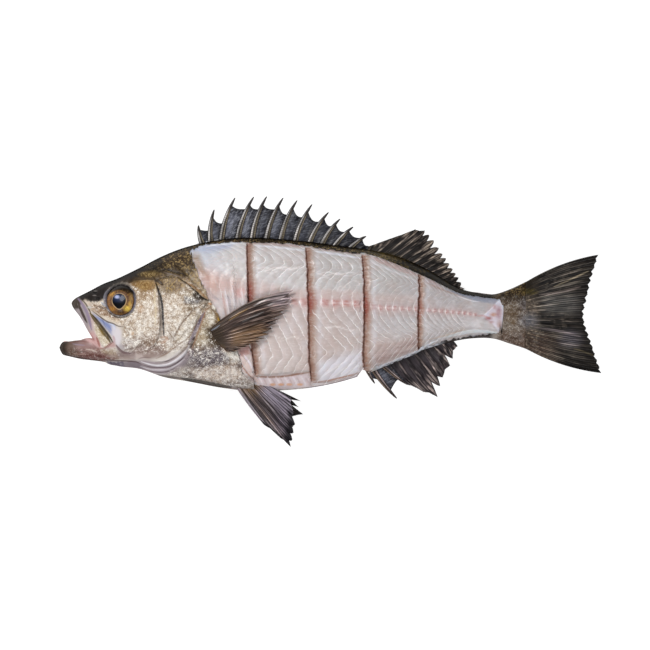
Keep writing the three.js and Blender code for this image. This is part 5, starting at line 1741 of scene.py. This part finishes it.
ANAL_FIN = FIN | {
    "roots": [[278, -45], [300, -36.5], [328, -26]],
    "ends": [
        [299.0, -68.6, 1.0], [310.5, -74.5, 2.0], [322.4, -78.8, 9.6], [324.6, -69.0, 5.4],
        [327.0, -61.8, 1.5], [333.2, -51.8, 7.8], [335.4, -45.8, 2.4], [339.8, -35.2, 0],
    ],
    "bow": -0.09, "ray": [1.3, 0.7], "web": [0.6, 0.3], "per_ray": 16, "ray_width": 0.13, "lobes": 1.4,
    "web_colour": "#3a3337", "ray_colour": "#998b85", "glint_colour": "#c2b2ad",
}
TAIL_FIN = FIN | {
    "roots": [[398, 19.5], [398, 0], [398, -37.0]],
    "ends": [
        [461.8, 43.6], [456.0, 25.2], [451.4, 5.3], [448.8, -11.0], [453.8, -27.4], [459.0, -43.0],
        [464.2, -58.4],
    ],
    "rays": 19, "tear": 1.2, "bow": 0.05, "ray": [1.9, 0.7], "web": [1.3, 0.35], "rows": 72,
    "blend": (402, 414), "streaks": 2.2,
    "web_colour": "#161311", "ray_colour": "#6b635b", "glint_colour": "#9c9386",
    "branches": 1, "ray_width": 0.3, "hang": 0.8, "tip_height": 1.4,
}
LEFT_PECTORAL = FIN | {
    "roots": [[129.5, -20.8], [134.5, -29.5], [142.5, -38]],
    "ends": [
        [199.4, 12.0], [200.4, 6.8], [196.8, -0.4], [192.2, -7.7], [184.0, -17.9], [179.4, -25.5],
        [172.6, -30.2], [162.6, -34.4], [152.0, -39.0],
    ],
    "rays": 15, "tear": 7.5, "lobes": 1.3, "bow": 0.085, "ray": [1.2, 0.6], "web": [0.5, 0.3],
    "rows": 72, "ragged": 2.4, "root": 1.2, "lift": 3.2, "arch": 0.86,
    "web_colour": "#4a3a34", "ray_colour": "#9c877d", "glint_colour": "#d3c3ba",
}
RIGHT_PECTORAL = FIN | {
    "roots": [[130, -22], [136, -31], [140, -38]],
    "ends": [[190, -52], [188, -58], [181, -63], [172, -66], [160, -67.5], [149, -66]],
    "rays": 9, "tear": 2.0, "bow": 0.02, "ray": [0.8, 0.5], "web": [0.5, 0.35],
    "lowest": 1.0, "sink": 1.4, "pleat": 0.0,
    "web_colour": "#33261f", "ray_colour": "#857062", "glint_colour": "#b39c88",
}
LEFT_PELVIC = FIN | {
    "roots": [[146.5, -63], [157, -63], [168, -63]],
    "ends": [
        [174.3, -102.0, 3.0], [188.5, -113.5, 3], [197.0, -121.0, 3], [198.4, -115.0, 3],
        [199.6, -108.6, 3.4], [200.8, -101.6, 3], [199.4, -91.0, 1.5], [197.6, -79.4, 0],
    ],
    "bow": -0.02, "ray": [1.3, 0.6], "web": [0.7, 0.35], "per_ray": 14, "rise": 8, "fall": 12,
    "streaks": 5.0, "web_colour": "#4d4344", "ray_colour": "#918589", "glint_colour": "#c6bcc2",
}
RIGHT_PELVIC = LEFT_PELVIC | {
    "ends": [
        [177.0, -99.5, 0], [196.0, -113.0, 5], [199.0, -104.5, 6], [207.6, -93.6, 9], [203.8, -87.6, 8],
        [205.8, -82.4, 7], [195.5, -81.5, 0],
    ],
    "lobes": 0.9, "rise": -9, "fall": 10,
    "web_colour": "#262020", "ray_colour": "#4f4541", "glint_colour": "#6b605c",
}

# Strokes on the fins: path, width, colour, opacity.
TAIL_STROKES = [
    ([[423, 16], [438, 22.5], [453, 29.5]], 1.1, "#a0927a", 0.8),
    ([[412, 22], [430, 30.5], [450, 37]], 3.0, "#2c2622", 0.6),
    ([[410, 9], [425, 10.5], [446, 16]], 2.4, "#8a7d77", 0.6),
    ([[406, -19], [426, -22], [446, -27]], 2.2, "#837879", 0.6),
    ([[440, -37], [458, -43.4]], 1.4, "#6b614b", 0.55),
    ([[432, -47], [462, -57]], 7.0, "#100d0c", 0.75),
    ([[432, 37], [450, 42], [461, 43]], 5.0, "#191513", 0.6),
    ([[455, 26], [452, 5], [449, -12], [455, -28], [461, -44]], 6.5, "#15120f", 0.7),
]
PECTORAL_STROKES = [
    ([[130, -21], [140, -15.5], [150, -7], [160, -1], [170, 4], [180, 9], [199, 11.5]], 2.0, "#5b5049", 0.9),
    ([[146, -13], [155, -7], [163, -2.5]], 1.4, "#9a7a48", 0.6),
    ([[131, -21.6], [134.5, -19.6], [138, -17]], 0.9, "#a9b0be", 0.8),
    # pale streaks near the leading edge: painted highlights
    ([[157, -14], [166, -10], [175, -6]], 1.2, "#d8d0cd", 0.85),
    ([[167, -1], [174, 3], [181, 6.5]], 1.2, "#d8d0cd", 0.8),
    ([[178, -1], [186, 3], [194, 7]], 1.2, "#c9c0be", 0.8),
    ([[150, -18], [165, -11], [180, -3]], 2.5, "#1f1715", 0.75),
    ([[165, -5], [178, 1], [190, 5]], 2.0, "#1f1716", 0.7),
    ([[148, -24], [160, -20], [172, -15], [182, -11]], 1.8, "#241a15", 0.7),
    ([[182, 2], [190, 3.4], [199, 7.6]], 1.6, "#8e7d84", 0.7),
]
PELVIC_STROKES = [
    ([[149, -68], [155, -78], [161, -86], [168, -95], [174.5, -102]], 0.9, "#b9aeb4", 0.8),
    ([[155, -70], [164, -84], [177, -101], [187, -111]], 1.4, "#1f1918", 0.85),
    ([[156, -70], [168, -84], [184, -103]], 2.0, "#93817a", 0.7),
    ([[162, -72], [176, -88], [190, -104]], 1.4, "#231c1b", 0.7),
    ([[168, -72], [184, -86], [196, -98]], 1.4, "#8f8590", 0.6),
]


def strokes_on(canvas, strokes):
    """Draws a table of strokes."""
    for stroke in strokes:
        canvas.line(*stroke)


# Each function of marks below paints one fin: t runs from root to margin, and u counts the rays.


def soft_back_marks(canvas, t, u):
    """A dark root with an olive patch, greyer in front."""
    canvas.lay(step(0.34, 0.04, t) * 0.9, "#211b13")
    canvas.lay(step(0.3, 0.1, t) * between(canvas.x, 262, 280, 300, 312) * 0.7, "#453a20")
    canvas.lay(step(275, 264, canvas.x) * 0.6, "#4c463c")


def anal_marks(canvas, t, u):
    """A dark root, margin and rear."""
    canvas.lay(step(0.4, 0.05, t) * 0.85, "#2b2529")
    canvas.lay(step(0.85, 1.0, t) * 0.6, "#2a2226")
    canvas.lay(step(314, 326, canvas.x) * between(canvas.y, -66, -58, -52, -46) * 0.6, "#2a2226")


def tail_marks(canvas, t, u):
    """Dark margins, and a scaly root that runs on from the wrist."""
    x, y = canvas.x, canvas.y
    canvas.lay(step(0.1, 0.6, ripple((x, y), 5.0, 71)) * 0.3, "#655d53")
    canvas.lay(step(0.62, 0.96, t) * 0.85, "#191512")
    canvas.lay(step(12, 4, np.abs(y - 1)) * between(x, 408, 420, 436, 452) * 0.35, "#7d7b78")
    scaly = step(414, 402, x + 4 * np.clip(np.abs(y + 8) / 24, 0, 1) ** 2)
    canvas.lay(scaly * 0.95, "#655a50")
    canvas.lay(step(436, 404, x) * step(-20, -28, y) * 0.8, "#4a392f")
    lower = np.maximum(scaly, step(426, 404, x) * step(-18, -26, y))
    canvas.lay(lower * step(0.1, 0.45, ripple((x, y), 1.9, 72)) * 0.5, "#a1927f")
    canvas.lay(scaly * step(-0.05, -0.4, ripple((x, y), 2.1, 73)) * 0.6, "#241d18")
    canvas.lay(step(414, 403, x) * step(3, 12, y), "#2b241b")
    canvas.spot([402, 11.5], [6, 2.5], "#4d4322", 0.8)
    canvas.spot([400, -13], [7, 5.5], "#787a84", 0.6, soft=0.9)
    canvas.spot([437, -29], [8, 6], "#77727b", 0.5, soft=0.9)
    strokes_on(canvas, TAIL_STROKES)


def pectoral_marks(canvas, t, u):
    """A brown root, an orange middle and a pale tip."""
    canvas.lay(step(0.24, 0.04, t) * 0.8, "#66533f")
    canvas.lay(step(0.26, 0.08, t) * between(canvas.y, -36, -31, -20, -15) * 0.7, "#241b16")
    canvas.patch([[150, -22], [172, -17], [182, -24], [166, -34], [148, -34]], "#9a7855", 0.5, soft=5)
    canvas.lay(step(0.6, 1.0, t) * step(-6, 4, canvas.y) * 0.8, "#b3a3a6")
    canvas.lay(step(0.88, 1.0, t) * step(-6, -14, canvas.y) * 0.6, "#2b201b")
    strokes_on(canvas, PECTORAL_STROKES)


def pelvic_marks(canvas, t, u):
    """An ochre root, bluish rays at the rear, and a dark tip."""
    canvas.lay(step(0.4, 0.0, t) * 0.75, "#97774e")
    canvas.lay(step(4.0, 5.5, u) * step(0.1, 0.4, t) * 0.7, "#a39aa8")
    canvas.lay(step(0.5, 0.8, t) * step(1.5, 3.5, u) * 0.45, "#6c6573")
    canvas.lay(hump(u - 0.35, 0.4) * step(1.0, 0.85, t) * 0.85, "#aaa0a8")
    strokes_on(canvas, PELVIC_STROKES)
    canvas.lay(step(0.8, 0.94, t) * step(6.6, 5.4, u) * 0.95, "#17141a")


def dark_margin(canvas, t, u):
    """A fin of the right side, dark at its margin alone."""
    canvas.lay(step(0.8, 1.0, t) * 0.7, "#1b1817")


def tail_height(grid):
    """The tail fin sinks from the trunk's height to the table."""
    length = TAIL_FIN["ends"][-1][0] - TAIL_ROOT
    t = np.clip((grid["x"] - TAIL_ROOT) / length, 0, 1)
    return mix(mid_height(grid["x"]), TAIL_FIN["tip_height"], t ** TAIL_FIN["hang"])


def pectoral_height(grid):
    """The left pectoral fin arches over the flank."""
    arch = np.sin(LEFT_PECTORAL["arch"] * np.pi * grid["t"])
    return trunk.flank(grid["x"], grid["y"]) + LEFT_PECTORAL["root"] + LEFT_PECTORAL["lift"] * arch


def pressed_height(grid):
    """The right pectoral fin lies pressed between the belly and the table."""
    under = trunk.flank(grid["x"], grid["y"], -1) - RIGHT_PECTORAL["sink"] * grid["t"]
    return np.maximum(RIGHT_PECTORAL["lowest"], under)


def pelvic_height(fin):
    """Height of a pelvic fin, which starts above or below the backbone's plane and hangs down."""
    return lambda grid: mid_height(grid["x"]) + fin["rise"] - fin["fall"] * grid["t"] ** 2


def make_soft_fins(dark, brown):
    """The fins that have soft rays alone; the last number of each is the seed of its ripples."""
    for name, fin, node, material, height, marks, seed in (
        ("fin_soft_back", SOFT_BACK_FIN, "soft_back_fin", dark, droop, soft_back_marks, 31),
        ("fin_tail", TAIL_FIN, "tail_fin", dark, tail_height, tail_marks, 32),
        ("fin_pectoral_left", LEFT_PECTORAL, "left_pectoral_fin", brown,
         pectoral_height, pectoral_marks, 33),
        ("fin_pectoral_right", RIGHT_PECTORAL, "right_pectoral_fin", brown,
         pressed_height, dark_margin, 34),
        ("fin_pelvic_left", LEFT_PELVIC, "left_pelvic_fin", brown,
         pelvic_height(LEFT_PELVIC), pelvic_marks, 35),
        ("fin_pelvic_right", RIGHT_PELVIC, "right_pelvic_fin", brown,
         pelvic_height(RIGHT_PELVIC), dark_margin, 36),
    ):
        dress(joined(name, [soft_part(fin, height, marks, seed)]), material, node)


# ---------------------------------------------------------------- spiny fins

# Spines of the back: root, tip, and the share of its length at which the web in front meets it.
BACK_SPINES = [
    ([123.5, 49], [118.6, 67.8], 0),
    ([129.5, 50], [132.0, 81.2], 0.42),
    ([138.0, 51], [149.8, 91.3], 0.44),
    ([151.5, 52], [165.7, 92.0], 0.72),
    ([164.0, 52], [176.7, 92.4], 0.71),
    ([176.0, 52], [190.7, 91.2], 0.73),
    ([188.0, 51], [202.6, 89.1], 0.66),
    ([200.0, 49], [215.3, 85.7], 0.68),
    ([211.5, 48], [229.3, 78.9], 0.71),
    ([221.5, 46], [239.1, 73.3], 0.74),
    ([231.5, 45], [250.2, 66.5], 0.76),
    ([244.0, 44], [261.2, 58.6], 0.86),
    ([262.0, 41], [264.0, 59.8], 0.5),
]
BACK_SPINE = {"radius": 2.75, "bow": 0.06, "rear_web": 0.84, "sag": 4.2, "slack": 1.4}
BACK_HORN = {"horn": "#3a3432", "front": "#e6e2e0", "rear": "#a99c80", "tip": "#231d1f"}
# How strongly each web behind a spine is painted with a pale bluish sheen across its middle, painted light.
BACK_PAINTED_SHEEN = [0.5, 0.8, 1.2, 1.1, 0.4, 0.7, 0.35, 0.4, 0.2, 0.1, 0.0, 0.0]
ANAL_PAINTED_SHEEN = [0.3, 0.8, 0.3]
SPINE_POINT = 0.22  # radius of a spine's tip
SPINE_STEPS, SPINE_SIDES = 120, 20
WEB_COLUMNS, WEB_ROWS = 30, 60
STEEP_WEBS, STEEP_LEAN, WEB_LEAN = 4, 40, 14  # the hairs of the first webs lean more, in degrees
# Spines of the anal fin: root, tip, radius, and where the web behind begins and meets the next.
ANAL_SPINES = [
    ([260.0, -50], [268.6, -66.8], 1.9, 0.7, 0.44),
    ([264.5, -50], [287.4, -79.6], 2.7, 0.78, 0.72),
    ([272.0, -48], [297.0, -68.0], 2.1, 1.0, 1.0),
]
ANAL_SPINE = {"bow": -0.03, "sag": 1.6, "slack": 0.6}
ANAL_HORN = {"horn": "#4a3d38", "front": "#b3a5a6", "rear": "#8d7a68", "tip": "#2b2322"}


def on_spine(root, tip, bow, t):
    """Places along a bowed spine, and the direction across it."""
    root, tip = np.array(root[:2], float), np.array(tip[:2], float)
    along = tip - root
    across = np.array([-along[1], along[0]]) / np.hypot(*along)
    t = np.asarray(t)[..., None]
    return root + along * t + across * (bow * 4 * t * (1 - t) * np.hypot(*along)), across


def spine_part(root, tip, radius, bow, colours, number):
    """A curved spine that tapers to a dark point, grooved along its top between two pale stripes."""
    t = np.linspace(0, 1, SPINE_STEPS)[:, None]
    centre, across = on_spine(root, tip, bow, t[:, 0])
    angle = whole_turn(SPINE_SIDES)[None, :]
    groove = 1 - 0.3 * hump(np.abs(np.sin(angle)) - 1, 0.12)
    r = (radius * (1 - t) ** 0.55 + SPINE_POINT) * groove
    x = centre[:, :1] + across[0] * np.cos(angle) * r
    y = centre[:, 1:] + across[1] * np.cos(angle) * r
    points = np.stack([x, y, mid_height(centre[:, :1]) + np.sin(angle) * r * 0.85], axis=-1)

    share = (np.cos(angle) + 0 * t).ravel()
    t = (t + 0 * angle).ravel()
    canvas = Canvas(x, y, colours["horn"])
    hatch = 0.7 + 0.3 * np.sin(2 * np.pi * (t * 22 + share * 0.8))
    canvas.lay(hump(share - 0.56, 0.24) * hatch * 0.95, colours["front"])
    canvas.lay(hump(share + 0.42, 0.28) * hatch * 0.8, colours["rear"])
    canvas.lay(hump(share, 0.14) * 0.75, "#2b2524")
    # painted shade: darker along both flanks, where the round spine turns away
    canvas.lay(step(0.84, 0.97, np.abs(share)) * 0.8, "#1f1a1b")
    canvas.lay(step(0.18, 0.0, t) * step(0.2, 0.6, share) * 0.6, "#cfcdd0")
    canvas.lay(step(0.62, 0.82, t) * 0.85, colours["tip"])
    faces = ring_faces(SPINE_STEPS, SPINE_SIDES)
    return points.reshape(-1, 3), faces, canvas.colour, number + 0.3 * share, t, step(0.9, 0.6, t) * 0.8


def web_part(left, right, bows, levels, number, style, painted_sheen):
    """The web between two spines, slack, and cut away behind the first as its sag says."""
    share, t = np.meshgrid(np.linspace(0, 1, WEB_COLUMNS), np.linspace(0, 1, WEB_ROWS), indexing="ij")
    first, _ = on_spine(*left, bows[0], t[0] * levels[0])
    last, _ = on_spine(*right, bows[1], t[0] * levels[1])
    x = mix(first[None, :, 0], last[None, :, 0], share)
    y = mix(first[None, :, 1], last[None, :, 1], mix(share, 1 - (1 - share) ** style["sag"], t))
    wave = np.sin(np.pi * share) * np.sin(2.2 * np.pi * share + number)
    z = mid_height(x) + style["slack"] * wave * t

    canvas = Canvas(x, y, "#1f1f27")
    # painted sheen: a pale bluish band across the web's middle, with paler hairs where it is strong
    lit = hump(share - 0.36, 0.26) * step(0.05, 0.3, t) * step(1.0, 0.6, t)
    canvas.lay(np.clip(lit * 0.7 * painted_sheen, 0, 1), "#7b7d8a")
    lean = np.radians(STEEP_LEAN if number < STEEP_WEBS else WEB_LEAN)
    run = (x * np.cos(lean) + y * np.sin(lean)) * 0.25
    off_run = (y * np.cos(lean) - x * np.sin(lean)) * 1.1
    hair = ripple((run, off_run), 0.9, 51 + number)
    canvas.lay(step(0.05, 0.45, hair) * step(0.05, 0.2, t) * (0.12 + 0.25 * painted_sheen), "#a3a5b0")
    canvas.lay(step(-0.05, -0.45, hair) * 0.4, "#0e0d12")
    canvas.lay(step(0.72, 0.95, share) * 0.5, "#121117")
    canvas.lay(step(0.2, 0.06, t) * 0.9, "#1c1813")
    canvas.lay(step(0.9, 1.0, t) * 0.7, "#141316")
    return two_sided(x, y, z, mix(0.8, 0.3, t), canvas, number + share, t, 0 * t)


def fin_spiny(material):
    """The spiny back fin: its spines, and the web from each to the next."""
    bow = BACK_SPINE["bow"]
    parts = []
    for number, (this, after) in enumerate(zip(BACK_SPINES, BACK_SPINES[1:])):
        parts.append(spine_part(*this[:2], BACK_SPINE["radius"], bow, BACK_HORN, number))
        bows = (bow, bow if number + 2 < len(BACK_SPINES) else 0)
        levels = (BACK_SPINE["rear_web"], after[2])
        painted_sheen = BACK_PAINTED_SHEEN[number]
        parts.append(web_part(this[:2], after[:2], bows, levels, number, BACK_SPINE, painted_sheen))
    return dress(joined("fin_spiny", parts), material, "spiny_back_fin")


def fin_anal(material):
    """The anal fin: three spines and their webs, joined to the soft rays."""
    parts = []
    bow = ANAL_SPINE["bow"]
    followers = [s[:2] for s in ANAL_SPINES[1:]] + [(ANAL_FIN["roots"][0], ANAL_FIN["ends"][0])]
    for number, (root, tip, radius, *levels) in enumerate(ANAL_SPINES):
        parts.append(spine_part(root, tip, radius, bow, ANAL_HORN, number))
        painted_sheen = ANAL_PAINTED_SHEEN[number]
        ends = (root, tip), followers[number]
        parts.append(web_part(*ends, (bow, bow), levels, number, ANAL_SPINE, painted_sheen))
    parts.append(soft_part(ANAL_FIN, droop, anal_marks, 37))
    return dress(joined("fin_anal", parts), material, "anal_fin")


# ---------------------------------------------------------------- camera, light and floor

CAMERA = {"over": [226.2, -17.0], "height": 2100.0, "lens": 135.0, "sensor": 36.0}
FLOOR = {"reach": 6.0, "height": -0.3 * MM}  # in metres
# Softboxes that face the fish: name, place in metres, side in metres, watts.
SOFTBOXES = [
    ("key", (-0.9, 0.9, 1.6), 0.7, 26),
    ("fill", (1.1, -0.6, 1.5), 0.7, 12),
    ("front", (-1.0, -0.9, 1.3), 0.6, 8),
]


def add_camera():
    """The photo's view, straight down on the fish."""
    data = bpy.data.cameras.new("camera")
    data.lens = CAMERA["lens"]
    data.sensor_width = CAMERA["sensor"]
    data.clip_end = 20
    camera = add_object("camera", data)
    camera.location = (np.array([*CAMERA["over"], CAMERA["height"]]) - ORIGIN) * MM
    bpy.context.scene.camera = camera


def add_softbox(name, place, size, power):
    """A square softbox that faces the fish."""
    data = bpy.data.lights.new(name, "AREA")
    data.shape = "SQUARE"
    data.size = size
    data.energy = power
    light = add_object(name, data)
    light.location = place
    light.rotation_euler = (-Vector(place)).to_track_quat("-Z", "Y").to_euler()


def add_studio():
    """A plain white floor and soft light from above."""
    mesh = bpy.data.meshes.new("floor")
    corners = [(x, y, FLOOR["height"]) for x, y in ((-1, -1), (1, -1), (1, 1), (-1, 1))]
    mesh.from_pydata([(x * FLOOR["reach"], y * FLOOR["reach"], z) for x, y, z in corners], [], [range(4)])
    floor = add_object("floor", mesh)
    mesh.materials.append(Shader("white_floor").finish(
        (0.25, 0.25, 0.25, 1), Roughness=1.0, Specular_IOR_Level=0.0,
        Emission_Color=(1, 1, 1, 1), Emission_Strength=0.92,
    ))

    world = bpy.data.worlds.new("studio")
    world.use_nodes = True
    sky = world.node_tree.nodes["Background"]
    sky.inputs["Color"].default_value = (0.93, 0.96, 1.0, 1)
    sky.inputs["Strength"].default_value = 0.16
    bpy.context.scene.world = world
    for softbox in SOFTBOXES:
        add_softbox(*softbox)
    bpy.context.scene.view_settings.view_transform = "Standard"


add_camera()
add_studio()
skin_body()
flesh_left()
eyeball("eye_left", 1)
eyeball("eye_right", -1)
dark_fin = fin_material("wet_dark_fin")
brown_fin = fin_material("wet_brown_fin")
make_soft_fins(dark_fin, brown_fin)
fin_spiny(dark_fin)
fin_anal(dark_fin)

bpy.context.view_layer.update()
